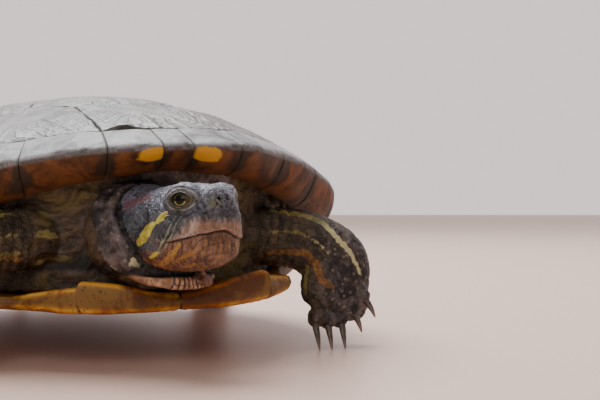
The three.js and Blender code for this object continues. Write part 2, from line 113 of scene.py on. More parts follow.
def smoothstep(value, low, high):
    t = np.clip((value - low) / (high - low), 0, 1)
    return t * t * (3 - 2 * t)


def bump(value, middle, width):
    """A smooth hill, 1 at its middle."""
    return np.exp(-((value - middle) / width) ** 2)


def plastron_underside(x, y):
    out = np.abs(x)
    lobe = 3.4 * (np.minimum(out, LOBE_HALF) / 40) ** 3
    bridge = BRIDGE_RISE * (np.maximum(0, out - LOBE_HALF) / (BRIDGE_OUT - LOBE_HALF)) ** 1.2
    flare = 0.35 + 0.65 * np.minimum(1, np.abs(y + 5) / 80)
    return lobe * flare + bridge + 4 * smoothstep(y, 40, 95)


def plastron_top(x, y, gular=False):
    """Upper face of the plastron. The gular pair stands up in a thick lip, and beside it the
    humeral pair thins out towards its outer end."""
    out = np.abs(x)
    lip = 2.2 * np.minimum(1, out / 24) * smoothstep(-y, 70, 95)
    if gular:
        step = 1.6 * smoothstep(out, 4, 18) * smoothstep(-y, 80, 93)
    else:
        step = -1.7 * smoothstep(out, 24, 40) * smoothstep(-y, 55, 72)
    return plastron_underside(x, y) + PLASTRON_THICKNESS + lip + step


def route(*corners):
    """A line through plan points, each stretch taking an equal share."""
    spots = np.array(corners, float)
    places = np.linspace(0, 1, len(spots))
    return lambda share: np.stack([np.interp(share, places, spots[:, k]) for k in (0, 1)], -1)


def ring_arc(start, end):
    return lambda t: rim_point(start + (end - start) * t, SEAM_RING)


def patch(start, end, left, right):
    """Plan point at u, v between four curves: two ends along u, two sides along v."""
    def plan(u, v):
        u1, v1 = u[..., None], v[..., None]
        zero, one = np.zeros(1), np.ones(1)
        return (left(v) * (1 - u1) + right(v) * u1 + start(u) * (1 - v1) + end(u) * v1
                - start(zero) * (1 - u1) * (1 - v1) - start(one) * u1 * (1 - v1)
                - end(zero) * (1 - u1) * v1 - end(one) * u1 * v1)
    return plan


def marginal_seams(nuchal_half=4.0, first=14.0, second=24.0, count=12):
    """Degrees from the front of the seams between marginals, spaced along the rim."""
    angles = np.linspace(0, 180, 1441)
    rim = rim_point(angles)
    length = np.concatenate([[0], np.cumsum(np.linalg.norm(np.diff(rim, axis=0), axis=1))])
    front = [nuchal_half, nuchal_half + first, nuchal_half + first + second]
    rest = (length[-1] - front[-1]) / (count - 2)
    marks = front + [front[-1] + rest * (i + 1) for i in range(count - 2)]
    return np.interp(marks, length, angles)


SEAMS = marginal_seams()
CROSS_SEAMS = [(14, -56), (14, -20), (14, 16), (12, 50)]
SIDE_CORNERS = [(22, -38), (23, -2), (22, 33)]
COSTAL_RING = [SEAMS[1], 58, 88, 118, 150]
CORNER_SHARE = 0.3


def ring_at(angle):
    return tuple(rim_point(float(angle), SEAM_RING))


def mirror(spot):
    return (-spot[0], spot[1])


def vertebral_sides(i):
    front = ring_at(COSTAL_RING[0]) if i == 0 else CROSS_SEAMS[i - 1]
    rear = ring_at(COSTAL_RING[4]) if i == 4 else CROSS_SEAMS[i]
    left = [front] + ([SIDE_CORNERS[i - 1]] if 0 < i < 4 else []) + [rear]
    start = ring_arc(-COSTAL_RING[0], COSTAL_RING[0]) if i == 0 else route(mirror(front), front)
    end = ring_arc(360 - COSTAL_RING[4], COSTAL_RING[4]) if i == 4 else route(mirror(rear), rear)
    return start, end, route(*map(mirror, left)), route(*left)


def costal_sides(j):
    near, far = COSTAL_RING[j], COSTAL_RING[j + 1]
    if j == 0:
        turn = near + (far - near) * CORNER_SHARE
        return (ring_arc(near, turn), route(SIDE_CORNERS[0], ring_at(far)),
                route(ring_at(near), CROSS_SEAMS[0], SIDE_CORNERS[0]), ring_arc(turn, far))
    if j == 3:
        turn = far + (near - far) * CORNER_SHARE
        return (route(SIDE_CORNERS[2], ring_at(near)), ring_arc(far, turn),
                route(SIDE_CORNERS[2], CROSS_SEAMS[3], ring_at(far)), ring_arc(near, turn))
    return (route(SIDE_CORNERS[j - 1], ring_at(near)), route(SIDE_CORNERS[j], ring_at(far)),
            route(SIDE_CORNERS[j - 1], CROSS_SEAMS[j], SIDE_CORNERS[j]), ring_arc(near, far))


PLASTRON_SCUTES = {
    "gular": (route((0, -96), (13, -96.5)), route((0, -74), (26, -93)),
              route((0, -96), (0, -74)), route((13, -96.5), (26, -93))),
    "humeral": (route((0, -74), (26, -93)), route((0, -50), (LOBE_HALF, -56)),
                route((0, -74), (0, -50)), route((26, -93), (36, -84), (42, -70), (LOBE_HALF, -56))),
    "pectoral": (route((0, -50), (LOBE_HALF, -56), (BRIDGE_OUT - 6, -44)),
                 route((0, -26), (BRIDGE_OUT, -12)),
                 route((0, -50), (0, -26)), route((BRIDGE_OUT - 6, -44), (BRIDGE_OUT, -12))),
    "abdominal": (route((0, -26), (BRIDGE_OUT, -12)),
                  route((0, 18), (LOBE_HALF - 1, 40), (BRIDGE_OUT - 1, 33)),
                  route((0, -26), (0, 18)), route((BRIDGE_OUT, -12), (BRIDGE_OUT - 1, 33))),
    "femoral": (route((0, 18), (LOBE_HALF - 1, 40)), route((0, 56), (38, 74)),
                route((0, 18), (0, 56)), route((LOBE_HALF - 1, 40), (43, 58), (38, 74))),
    "anal": (route((0, 56), (38, 74)), route((0, 80), (14, 91)),
             route((0, 56), (0, 80)), route((38, 74), (28, 86), (14, 91))),
}
# Sides of each plastron scute that are free edges: front, rear, outer.
FREE_SIDES = {"gular": "front outer", "humeral": "outer", "pectoral": "",
              "abdominal": "", "femoral": "outer", "anal": "rear outer"}

SHELL_TURN = (Matrix.Rotation(math.radians(-SHELL_PITCH), 3, "X")
              @ Matrix.Rotation(math.radians(-SHELL_ROLL), 3, "Y"))


def from_shell(points):
    """Shell-frame millimetres to the solids' frame in millimetres."""
    return points @ np.array(SHELL_TURN).T + np.array(MIDDLE) + np.array([0, 0, SHELL_CLEARANCE])


# ------------------------------------------------------------------ working on meshes

def deselect():
    bpy.ops.object.select_all(action="DESELECT")


def work_on(piece):
    deselect()
    piece.select_set(True)
    bpy.context.view_layer.objects.active = piece


def coordinates(piece):
    """The piece's vertices in millimetres."""
    co = np.empty(len(piece.data.vertices) * 3, np.float32)
    piece.data.vertices.foreach_get("co", co)
    return co.reshape(-1, 3).astype(float) / MM


def move_to(piece, points):
    piece.data.vertices.foreach_set("co", (points * MM).astype(np.float32).ravel())
    piece.data.update()


def normals(piece):
    out = np.empty(len(piece.data.vertices) * 3, np.float32)
    piece.data.vertex_normals.foreach_get("vector", out)
    return out.reshape(-1, 3).astype(float)


def keep(piece, **numbers):
    """Stores named numbers for every vertex, for the materials to read."""
    for name, values in numbers.items():
        layer = piece.data.attributes.new(name, "FLOAT", "POINT")
        layer.data.foreach_set("value", np.asarray(values, np.float32))


def apply(piece, kind, **settings):
    work_on(piece)
    modifier = piece.modifiers.new(kind.lower(), kind)
    for key, value in settings.items():
        setattr(modifier, key, value)
    bpy.ops.object.modifier_apply(modifier=modifier.name)


def face_outwards(piece):
    work_on(piece)
    bpy.ops.object.mode_set(mode="EDIT")
    bpy.ops.mesh.select_all(action="SELECT")
    bpy.ops.mesh.normals_make_consistent(inside=False)
    bpy.ops.object.mode_set(mode="OBJECT")


def dress(piece, material, angle):
    """Gives a piece its material, and shades it smooth across edges up to this many degrees."""
    piece.data.materials.append(material)
    face_outwards(piece)
    bpy.ops.object.shade_smooth_by_angle(angle=math.radians(angle))


def stand_for(piece, nodes):
    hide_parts(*nodes)
    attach(piece, "root")


def ripple(points, scale, seed):
    """Smooth noise from -1 to 1 at plan or space points, from a few turned sine waves."""
    p = np.asarray(points, float) / scale
    p = np.concatenate([p, np.zeros(p.shape[:-1] + (3 - p.shape[-1],))], -1)
    total = np.zeros(p.shape[:-1])
    for k in range(5):
        a, b, c = (math.sin(seed + k * 2.4), math.cos(seed * 1.3 + k * 1.7), math.sin(seed + k * 3.9 + 1))
        wave = p[..., 0] * a + p[..., 1] * b + p[..., 2] * c
        total += np.sin(wave * 6.3 + seed * 7 + k * 1.9 + 1.5 * np.sin(p @ np.array([c, a, b]) * 3.7 + k))
    return total / 3.2


# ------------------------------------------------------------------ the shell's plates

def grid_plate(name, cells, material, place):
    """A plate from a grid primitive given thickness. place(u, v, lower) returns shell-frame
    points and the numbers kept for the materials."""
    deselect()
    bpy.ops.mesh.primitive_grid_add(x_subdivisions=cells[0], y_subdivisions=cells[1], size=1)
    piece = bpy.context.object
    piece.name = piece.data.name = name
    apply(piece, "SOLIDIFY", thickness=1.0, offset=-1.0)
    flat = coordinates(piece) * MM
    u, v = np.clip(flat[:, 0] + 0.5, 0, 1), np.clip(flat[:, 1] + 0.5, 0, 1)
    points, kept = place(u, v, flat[:, 2] < -0.5)
    move_to(piece, from_shell(points))
    keep(piece, **kept)
    dress(piece, material, 60)
    return piece


def towards_edges(t):
    """Crowds grid lines towards both ends."""
    return t - 0.09 * np.sin(2 * math.pi * t)


def rounded(distance, radius):
    """How far a surface drops within a radius of its edge."""
    near = np.clip(1 - distance / radius, 0, 1)
    return radius * (1 - np.sqrt(np.maximum(0, 1 - near ** 2)))


def plate_frame(plan, u, v):
    """Plan points and distances to the four sides, drawn in by half a seam."""
    width = np.linalg.norm(plan(np.ones_like(v), v) - plan(np.zeros_like(v), v), axis=-1)
    length = np.linalg.norm(plan(u, np.ones_like(u)) - plan(u, np.zeros_like(u)), axis=-1)
    draw_u, draw_v = SEAM_GAP / 2 / np.maximum(width, 8), SEAM_GAP / 2 / np.maximum(length, 8)
    uu, vv = draw_u + (1 - 2 * draw_u) * u, draw_v + (1 - 2 * draw_v) * v
    sides = {"left": u * width, "outer": (1 - u) * width, "front": v * length, "rear": (1 - v) * length}
    return plan(uu, vv), sides


def growth(u, v, hub):
    """0 at the oldest part of a scute to 1 at its edges, in rings that follow its outline."""
    across = np.where(u < hub[0], (hub[0] - u) / hub[0], (u - hub[0]) / (1 - hub[0]))
    along = np.where(v < hub[1], (hub[1] - v) / hub[1], (v - hub[1]) / (1 - hub[1]))
    return (across ** 6 + along ** 6 + 1e-9) ** (1 / 6), np.arctan2(u - hub[0], v - hub[1])


RINGS = 9
LIFTED_EDGE = (-10.5, 3.5, 1.2)      # on the first ridge scute: out, half width, height


def dome_plate(name, sides, hub, seed, side=1):
    plan = patch(*sides)

    def place(u, v, lower):
        u, v = towards_edges(u), towards_edges(v)
        xy, edge = plate_frame(plan, u, v)
        nearest = np.min(list(edge.values()), axis=0)
        age, spin = growth(u, v, hub)
        rings = np.sin(2 * math.pi * RINGS * (age + 0.03 * ripple(xy, 20, seed)))
        folds = np.abs(np.sin(spin * 17 + 2.2 * ripple(xy, 9, seed + 1)))
        worn = 0.5 + 0.5 * ripple(xy, 26, seed + 2)
        relief = (0.35 * (1 - age ** 2) + 0.05 * rings * smoothstep(age, 0.15, 0.5)
                  + 0.30 * folds * smoothstep(age, 0.25, 0.65) * worn + 0.15 * ripple(xy, 14, seed + 3))
        z = dome_height(xy[:, 0], xy[:, 1])
        top = z + relief - rounded(nearest, 0.5) - 0.25
        if name == "ridge_scute_1":
            out, half_width, rise = LIFTED_EDGE
            top += rise * bump(xy[:, 0], out, half_width) * smoothstep(-edge["front"], -7, -0.3)
        height = np.where(lower, z - SCUTE_THICKNESS, top)
        points = np.column_stack([side * xy[:, 0], xy[:, 1], height])
        return points, {"age": age, "spin": spin, "edge": nearest}

    return grid_plate(name, (64, 64), CARAPACE, place)


NO_GOLD = -3.0           # well outside the gold patch that only the first marginals have


def marginal_plate(name, start, end, seed, side=1):
    """A rim scute: v runs from its inner edge out over the rim and back under to the skin."""
    RIM_AT, RIM_ROUND, INNER_DROP = 0.5, 1.6, 2.2

    def place(u, v, lower):
        across = towards_edges(u)
        arc = float(np.linalg.norm(rim_point(float(start)) - rim_point(float(end))))
        drawn = SEAM_GAP / 2 / arc
        angle = start + (end - start) * (drawn + (1 - 2 * drawn) * across)
        bend = np.abs(angle)
        turn = np.clip(v / RIM_AT, 0, 1)
        back = np.clip((v - RIM_AT) / (1 - RIM_AT), 0, 1)
        upper_share = MARGINAL_ROOT + (1 - MARGINAL_ROOT) * np.sin(turn * math.pi / 2)
        ridge_share = underside_share(bend)
        share = np.where(v <= RIM_AT, upper_share, 1 + (ridge_share - 1) * back ** 1.3)
        xy = rim_point(angle, share)
        edge_xy = rim_point(angle, 1.0)
        rim = rim_height(bend)
        over = dome_height(xy[:, 0], xy[:, 1]) - RIM_ROUND * turn ** 8
        under = rim - RIM_ROUND - (underside_drop(bend) - RIM_ROUND) * np.sin(back * math.pi / 2) ** 0.9
        z = np.where(v <= RIM_AT, over, under)
        seam = np.minimum(across, 1 - across) * arc
        nearest = np.minimum(seam, np.where(v <= RIM_AT, turn * 10, 9.0))
        bulge = 0.2 * np.sin(across * math.pi) - 0.5 * rounded(nearest, 0.4)
        bulge = bulge + 0.12 * ripple(np.column_stack([across * arc, v * 20]), 9, seed)
        outward = np.column_stack([edge_xy / np.linalg.norm(edge_xy, axis=1)[:, None], np.zeros(len(u))])
        tilt = np.where(v <= RIM_AT, (math.pi / 2) * (1 - turn ** 3), -(math.pi / 2) * back ** 0.5)
        facing = outward * np.cos(tilt)[:, None] + np.array([0, 0, 1]) * np.sin(tilt)[:, None]
        points = np.column_stack([xy, z]) + facing * bulge[:, None]
        points = points + facing * np.where(lower, -INNER_DROP, 0)[:, None]
        points[:, 0] *= side
        kept = {"along": across, "across": v, "edge": nearest, "under": np.where(v > RIM_AT, back, 0)}
        from_gold = ((across - 0.21) / 0.30) ** 2 + np.abs((v - 0.555 - 0.05 * across) / 0.10) ** 3
        gold = 1.3 - from_gold if name.endswith("_1") else np.full(len(u), NO_GOLD)
        kept["gold"] = np.maximum(gold, NO_GOLD)
        return points, kept

    return grid_plate(name, (28, 36), RIM, place)


def plastron_plate(name, sides, free, seed, side=1):
    plan = patch(*sides)
    LIP_ROUND, SEAM_ROUND = 2.4, 0.8

    def place(u, v, lower):
        far = np.full(len(u), 99.0)
        u, v = towards_edges(u), towards_edges(v)
        xy, edge = plate_frame(plan, u, v)
        under, over = plastron_underside(*xy.T), plastron_top(*xy.T, gular="gular" in name)
        lip, seam = (np.min([edge[s] if (s in free) == is_free else far for s in edge], axis=0)
                     for is_free in (True, False))
        shrink = rounded(lip, LIP_ROUND)
        age, _ = growth(u, v, (0.75, 0.3))
        relief = 0.08 * np.sin(2 * math.pi * 6 * age) + 0.12 * ripple(xy, 16, seed)
        low = under + shrink + rounded(seam, SEAM_ROUND) - relief * (lip > 1.2)
        high = over - shrink - rounded(seam, 0.6)
        points = np.column_stack([side * xy[:, 0], xy[:, 1], np.where(lower, low, high)])
        return points, {"edge": np.minimum(seam, lip), "lip": lip}

    return grid_plate(name, (44, 36), PLASTRON, place)


def make_shell():
    plates = {"nuchal_scute": marginal_plate("nuchal", -SEAMS[0], SEAMS[0], 0.3)}
    hands = ((1, "left"), (-1, "right"))
    for i in range(12):
        for side, word in hands:
            plates[f"marginal_{word}_{i + 1}"] = marginal_plate(
                f"rim_scute_{word}_{i + 1}", SEAMS[i], SEAMS[i + 1], i * 1.7 + side, side)
    for i in range(5):
        plates[f"vertebral_{i + 1}"] = dome_plate(
            f"ridge_scute_{i + 1}", vertebral_sides(i), (0.5, 0.68), 3.1 * i + 1)
    for j in range(4):
        for side, word in hands:
            plates[f"costal_{word}_{j + 1}"] = dome_plate(
                f"flank_scute_{word}_{j + 1}", costal_sides(j), (0.3, 0.62), 2.3 * j + side, side)
    for k, (kind, sides) in enumerate(PLASTRON_SCUTES.items()):
        for side, word in hands:
            plates[f"{kind}_{word}"] = plastron_plate(
                f"belly_{kind}_{word}", sides, FREE_SIDES[kind], k + side, side)
    for node, plate in plates.items():
        stand_for(plate, [node])


# ------------------------------------------------------------------ materials

class Finish:
    """A material's node tree, or a group's, with short ways to add nodes. Colours have no alpha."""

    def __init__(self, name, tree=None):
        if tree is None:
            self.material = bpy.data.materials.new(name)
            self.material.use_nodes = True
            tree = self.material.node_tree
            tree.nodes.clear()
        self.tree = tree

    def feed(self, socket, value):
        if isinstance(value, bpy.types.NodeSocket):
            self.tree.links.new(value, socket)
        else:
            socket.default_value = (*value, 1) if socket.type == "RGBA" else value

    def add(self, kind, inputs=None, **settings):
        """One shader node. Inputs are sockets to link or values to set, by name or index."""
        node = self.tree.nodes.new("ShaderNode" + kind)
        for key, value in settings.items():
            setattr(node, key, value)
        for key, value in (inputs or {}).items():
            self.feed(node.inputs[key], value)
        return node

    def math(self, operation, *values, clamp=False):
        return self.add("Math", dict(enumerate(values)), operation=operation, use_clamp=clamp).outputs[0]

    def times(self, first, second):
        return self.math("MULTIPLY", first, second)

    def plus(self, first, second):
        return self.math("ADD", first, second)

    def less(self, first, second):
        return self.math("SUBTRACT", first, second)

    def line(self, value, slope, offset):
        """value * slope + offset."""
        return self.math("MULTIPLY_ADD", value, slope, offset)

    def mix(self, amount, first, second):
        return self.add("Mix", {0: amount, 6: first, 7: second}, data_type="RGBA").outputs[2]

    def painted(self, colour, *layers):
        """Lays (amount, colour) layers over a colour, in order."""
        for amount, layer in layers:
            colour = self.mix(amount, colour, layer)
        return colour

    def band(self, value, low, high, flip=False):
        """0 below low, 1 above high, smooth between; the other way round if flipped."""
        return self.add("MapRange", {0: value, 1: low, 2: high, 3: float(flip), 4: float(not flip)},
                        interpolation_type="SMOOTHSTEP").outputs[0]

    def ramp(self, value, first, last, low=0.0, high=1.0):
        """Straight from first at low to last at high."""
        return self.add("MapRange", {0: value, 1: low, 2: high, 3: first, 4: last}).outputs[0]

    def noise(self, vector, scale, detail=4.0, rough=0.55, distortion=0.0):
        return self.add("TexNoise", {"Vector": vector, "Scale": scale, "Detail": detail,
                                     "Roughness": rough, "Distortion": distortion}).outputs["Fac"]

    def spots(self, vector, scale):
        return self.add("TexVoronoi", {"Vector": vector, "Scale": scale}).outputs["Distance"]

    def stretched(self, vector, *scale):
        return self.add("Mapping", {"Vector": vector, "Scale": scale}).outputs[0]

    def kept(self, name):
        return self.add("Attribute", attribute_name=name, attribute_type="GEOMETRY").outputs["Fac"]

    def here(self):
        return self.add("TexCoord").outputs["Object"]

    def relief(self, height, depth, strength):
        return self.add("Bump", {"Height": height, "Distance": depth * MM, "Strength": strength}).outputs[0]

    def use(self, group, **inputs):
        node = self.add("Group", node_tree=group)
        for key, value in inputs.items():
            self.feed(node.inputs[key.capitalize()], value)
        return node.outputs

    def close(self, **inputs):
        """Adds the shader with these inputs, and gives back the finished material."""
        shader = self.add("BsdfPrincipled", {key.replace("_", " "): value for key, value in inputs.items()})
        self.tree.links.new(shader.outputs[0], self.add("OutputMaterial").inputs["Surface"])
        return self.material


def make_horn_wear():
    """Fine scratches, grime and chalky wear on old horn, as a group with named sockets."""
    group = bpy.data.node_groups.new("horn_wear", "ShaderNodeTree")
    for label, kind in (("Place", "Vector"), ("Edge", "Float"), ("Scale", "Float")):
        group.interface.new_socket(label, in_out="INPUT", socket_type="NodeSocket" + kind)
    for label in ("Chalk", "Grime", "Grain"):
        group.interface.new_socket(label, in_out="OUTPUT", socket_type="NodeSocketFloat")
    get = group.nodes.new("NodeGroupInput").outputs
    put = group.nodes.new("NodeGroupOutput").inputs
    finish = Finish("horn_wear", group)
    band, times, noise = finish.band, finish.times, finish.noise
    size = times(get["Scale"], 60.0)
    broad = noise(get["Place"], size, 5.0, 0.6)
    fine = noise(finish.stretched(get["Place"], 1.0, 2.6, 1.0), times(size, 9.0), 4.0, 0.65)
    seam = band(get["Edge"], 0.08, 0.7, flip=True)
    finish.feed(put["Chalk"], times(band(broad, 0.48, 0.68), band(fine, 0.35, 0.7)))
    finish.feed(put["Grime"], finish.math("MAXIMUM", seam, band(broad, 0.38, 0.3), clamp=True))
    finish.feed(put["Grain"], fine)
    return group


def make_carapace_finish():
    """Grey horn with pale rays out from the oldest part of each scute, and faint growth rings."""
    finish = Finish("carapace_horn")
    mix, band, times, noise = finish.mix, finish.band, finish.times, finish.noise
    place = finish.here()
    age, spin, edge = map(finish.kept, ("age", "spin", "edge"))
    wear = finish.use(HORN_WEAR, place=place, edge=edge, scale=1.0)
    warp = noise(place, 90.0, 3.0)
    ring_wave = finish.math("SINE", finish.line(age, 75.0, times(warp, 5.0)))
    rings = times(band(ring_wave, 0.2, 1.0), band(age, 0.25, 0.7))
    ray_wave = finish.math("SINE", finish.line(spin, 28.0, times(warp, 15.0)))
    rays = times(band(ray_wave, 0.0, 0.95), band(age, 0.25, 0.65))
    patchy = band(noise(place, 34.0, 3.0), 0.38, 0.62)
    mottle = band(noise(place, 130.0, 5.0, 0.6, 0.4), 0.4, 0.62)
    base = finish.painted(
        mix(mottle, (0.034, 0.030, 0.025), (0.135, 0.122, 0.103)),
        (times(rings, 0.1), (0.22, 0.20, 0.18)),
        (times(rays, finish.line(patchy, 0.36, 0.08)), (0.44, 0.41, 0.40)),
        (times(wear["Chalk"], 0.35), (0.34, 0.33, 0.31)),
        (times(wear["Grime"], 0.8), (0.030, 0.026, 0.018)))
    height = finish.plus(times(wear["Grain"], 0.35), finish.plus(times(rings, 0.2), times(rays, 0.6)))
    return finish.close(Base_Color=base, Roughness=finish.ramp(wear["Chalk"], 0.34, 0.62),
                        Normal=finish.relief(height, 0.4, 0.7))


def make_rim_finish():
    """Pale worn horn above, paler still as a painted sheen; below the rim orange-brown horn, darkened as
    painted shade and blotched at each seam.
    """
    finish = Finish("rim_horn")
    mix, band, times, plus = finish.mix, finish.band, finish.times, finish.plus
    place = finish.here()
    along, across, edge, under, gold = map(finish.kept, ("along", "across", "edge", "under", "gold"))
    wear = finish.use(HORN_WEAR, place=place, edge=edge, scale=1.4)
    mottle = finish.noise(place, 160.0, 5.0, 0.6, 0.5)
    wobble = finish.line(mottle, 0.5, -0.25)
    fringe = times(band(across, 0.43, 0.49), band(mottle, 0.44, 0.54))
    # Painted sheen: the upper face's pale grey is worn horn, and partly the sky's reflection painted in.
    top = finish.painted(
        mix(band(mottle, 0.36, 0.60), (0.085, 0.076, 0.070), (0.29, 0.28, 0.285)),
        (times(wear["Chalk"], 0.85), (0.56, 0.54, 0.53)),
        (times(fringe, 0.8), (0.030, 0.022, 0.022)))
    from_seam = plus(times(finish.math("MINIMUM", along, finish.less(1.0, along)), 2.6), wobble)
    from_mid = plus(finish.math("ABSOLUTE", finish.less(under, 0.38)), wobble)
    squared = plus(finish.math("POWER", from_seam, 2.0), finish.math("POWER", from_mid, 2.0))
    # Painted shade: the underside's orange-brown is kept dark, partly for the shade under the rim.
    below = finish.painted(
        mix(band(mottle, 0.36, 0.64), (0.040, 0.015, 0.006), (0.15, 0.052, 0.013)),
        (band(finish.math("POWER", squared, 0.5), 0.26, 0.42, flip=True), (0.030, 0.018, 0.010)),
        (times(band(under, 0.5, 1.0), 0.6), (0.10, 0.045, 0.018)))
    base = finish.painted(
        mix(band(across, 0.485, 0.52), top, below),
        (times(band(plus(gold, times(wobble, 5.0)), 0.1, 0.75), 0.95), (0.62, 0.30, 0.018)),
        (times(wear["Grime"], 0.35), (0.030, 0.024, 0.016)))
    return finish.close(Base_Color=base, Roughness=finish.ramp(across, 0.36, 0.60, 0.4, 0.6),
                        Normal=finish.relief(wear["Grain"], 0.3, 0.6), Specular_IOR_Level=0.22)


def make_plastron_finish():
    """Orange horn, yellow along its free edges, partly its own colour and partly a painted highlight, with
    smudges and fine dark specks.
    """
    finish = Finish("belly_horn")
    mix, band, times, noise = finish.mix, finish.band, finish.times, finish.noise
    place = finish.here()
    edge, lip = map(finish.kept, ("edge", "lip"))
    wear = finish.use(HORN_WEAR, place=place, edge=edge, scale=1.2)
    mottle = noise(place, 110.0, 5.0, 0.6, 0.6)
    # Yellow lip: the horn's own paler edge, and a painted highlight where the lip's top catches the light.
    lit = times(band(lip, 0.6, 2.6, flip=True), band(mottle, 0.42, 0.58))
    smudge = band(noise(place, 42.0, 4.0, 0.6, 0.8), 0.54, 0.66)
    specks = times(band(finish.spots(place, 700.0), 0.16, 0.34, flip=True),
                   band(noise(place, 70.0, 3.0), 0.40, 0.54))
    base = finish.painted(
        mix(band(mottle, 0.35, 0.65), (0.27, 0.080, 0.010), (0.54, 0.170, 0.018)),
        (times(lit, 0.8), (0.66, 0.36, 0.045)),
        (times(smudge, 0.45), (0.070, 0.030, 0.012)),
        (times(specks, 0.8), (0.09, 0.034, 0.012)),
        (times(wear["Grime"], 0.75), (0.045, 0.025, 0.014)))
    return finish.close(Base_Color=base, Roughness=0.42, Specular_IOR_Level=0.25,
                        Normal=finish.relief(wear["Grain"], 0.25, 0.6))


WARP = 0.9               # how far the skin's small scales are pushed about


class SkinFinish(Finish):
    """The textures and the kept markings that every part of the skin is coloured from."""

    def __init__(self):
        super().__init__("scaled_skin")
        place = self.here()
        self.mottle = self.noise(place, 240.0, 5.0, 0.62, 0.4)
        self.broad = self.noise(place, 75.0, 4.0, 0.6, 0.8)
        self.fine = self.noise(place, 900.0, 4.0, 0.65)
        warp = self.add("TexNoise", {"Vector": place, "Scale": 500.0, "Detail": 2.0}).outputs["Color"]
        shift = self.add("VectorMath", {0: warp, 3: WARP * MM}, operation="SCALE").outputs[0]
        bent = self.add("VectorMath", {0: place, 1: shift}, operation="ADD").outputs[0]
        cells = self.add("TexVoronoi", {"Vector": bent, "Scale": 760.0}, feature="DISTANCE_TO_EDGE")
        self.grooves = self.band(cells.outputs[0], 0.0, 0.16)
        self.creases = self.noise(self.stretched(place, 0.35, 0.35, 1.0), 620.0, 5.0, 0.65, 1.2)
        self.streaky = self.noise(bent, 1300.0, 3.0, 0.6)
        self.upright = self.noise(self.stretched(place, 1.0, 1.0, 0.22), 900.0, 4.0, 0.6)
        self.dots = self.band(self.spots(place, 520.0), 0.16, 0.30, flip=True)

    def mottled(self, low, high, dark, light):
        return self.mix(self.band(self.mottle, low, high), dark, light)

    def wave(self, name, pitch, wander):
        """Lines this far apart in a kept value, wandering with the mottle."""
        bend = self.times(self.mottle, wander)
        return self.math("SINE", self.line(self.kept(name), 2 * math.pi / pitch, bend))


def body_colour(skin):
    """Dark scaled limbs, and slack brown skin with olive and pinkish patches between them."""
    band, times, kept, broad = skin.band, skin.times, skin.kept, skin.broad
    limb = skin.painted(
        skin.mottled(0.40, 0.62, (0.036, 0.024, 0.014), (0.095, 0.064, 0.036)),
        (times(band(kept("scale"), 0.7, 0.0), 0.6), (0.012, 0.009, 0.006)))
    slack = skin.painted(
        skin.mix(band(skin.creases, 0.34, 0.64), (0.022, 0.014, 0.008), (0.100, 0.066, 0.036)),
        (times(band(broad, 0.50, 0.62), 0.5), (0.16, 0.12, 0.025)),
        (times(band(broad, 0.44, 0.36), 0.45), (0.12, 0.082, 0.064)))
    return skin.mix(kept("limb"), slack, limb)


def face_colour(skin):
    """Slate grey with fine olive lines, and a pale painted sheen on the crown."""
    band, times, kept = skin.band, skin.times, skin.kept
    lines = times(band(skin.wave("flow", 1.05, 6.0), 0.45, 0.95), band(skin.mottle, 0.40, 0.55))
    # Painted sheen: pale lavender streaks on the crown stand in for the sky's reflection on glossy skin.
    crown_sheen = times(kept("crown_sheen"), band(skin.streaky, 0.32, 0.70))
    return skin.painted(
        skin.mottled(0.38, 0.64, (0.010, 0.012, 0.018), (0.066, 0.070, 0.092)),
        (times(lines, 0.42), (0.17, 0.19, 0.12)),
        (times(crown_sheen, 0.62), (0.27, 0.26, 0.33)))


def low_collar_colour(skin):
    """The flushed fold under the chin, barred on the animal's left."""
    band, times = skin.band, skin.times
    bars = times(band(skin.wave("round", 1.3, 2.0), 0.05, 0.6), band(skin.kept("round"), -23.4, -22.0))
    return skin.painted(
        skin.mottled(0.4, 0.6, (0.38, 0.18, 0.09), (0.68, 0.42, 0.25)),
        (times(band(skin.fine, 0.50, 0.60), 0.6), (0.10, 0.060, 0.045)),
        (bars, (0.060, 0.034, 0.026)))


def jaw_layers(skin):
    """The throat, the lower jaw, the beak above the mouth line and the spot on the nose."""
    mix, band, times, kept = skin.mix, skin.band, skin.times, skin.kept
    throat = skin.mottled(0.42, 0.6, (0.075, 0.024, 0.010), (0.26, 0.085, 0.022))
    jaw = mix(band(skin.upright, 0.40, 0.62), (0.095, 0.042, 0.024), (0.24, 0.118, 0.066))
    lines = times(band(skin.wave("flow", 1.3, 5.0), 0.5, 0.95), kept("jaw"))
    beak = mix(band(skin.upright, 0.38, 0.64), (0.16, 0.096, 0.074), (0.46, 0.33, 0.26))
    beak = mix(times(band(kept("flow"), 28.0, 25.6), 0.6), beak, (0.26, 0.12, 0.060))
    return ((times(kept("throat"), 0.8), throat), (kept("jaw"), jaw),
            (times(lines, 0.55), (0.030, 0.018, 0.012)), (kept("beak"), beak),
            (times(kept("red"), 0.75), (0.17, 0.045, 0.050)),
            (times(kept("nose"), band(skin.streaky, 0.40, 0.60)), (0.15, 0.16, 0.060)))


def lid_layer(skin):
    """The lids, finely wrinkled along their edge, with a pale broken ring round them."""
    band, times, lids = skin.band, skin.times, skin.kept("lids")
    pale_ring = times(times(band(lids, 1.66, 1.76), band(lids, 2.0, 1.86)), band(skin.mottle, 0.38, 0.52))
    lid = skin.painted(
        skin.mix(band(skin.wave("lids", 0.30, 12.0), -0.6, 0.9),
                 (0.020, 0.020, 0.013), (0.105, 0.098, 0.060)),
        (times(band(skin.kept("lift"), 0.2, 1.4), 0.45), (0.20, 0.19, 0.19)),
        (band(lids, 1.16, 1.04), (0.030, 0.026, 0.018)),
        (pale_ring, (0.33, 0.33, 0.40)))
    return band(lids, 1.85, 2.2, flip=True), lid


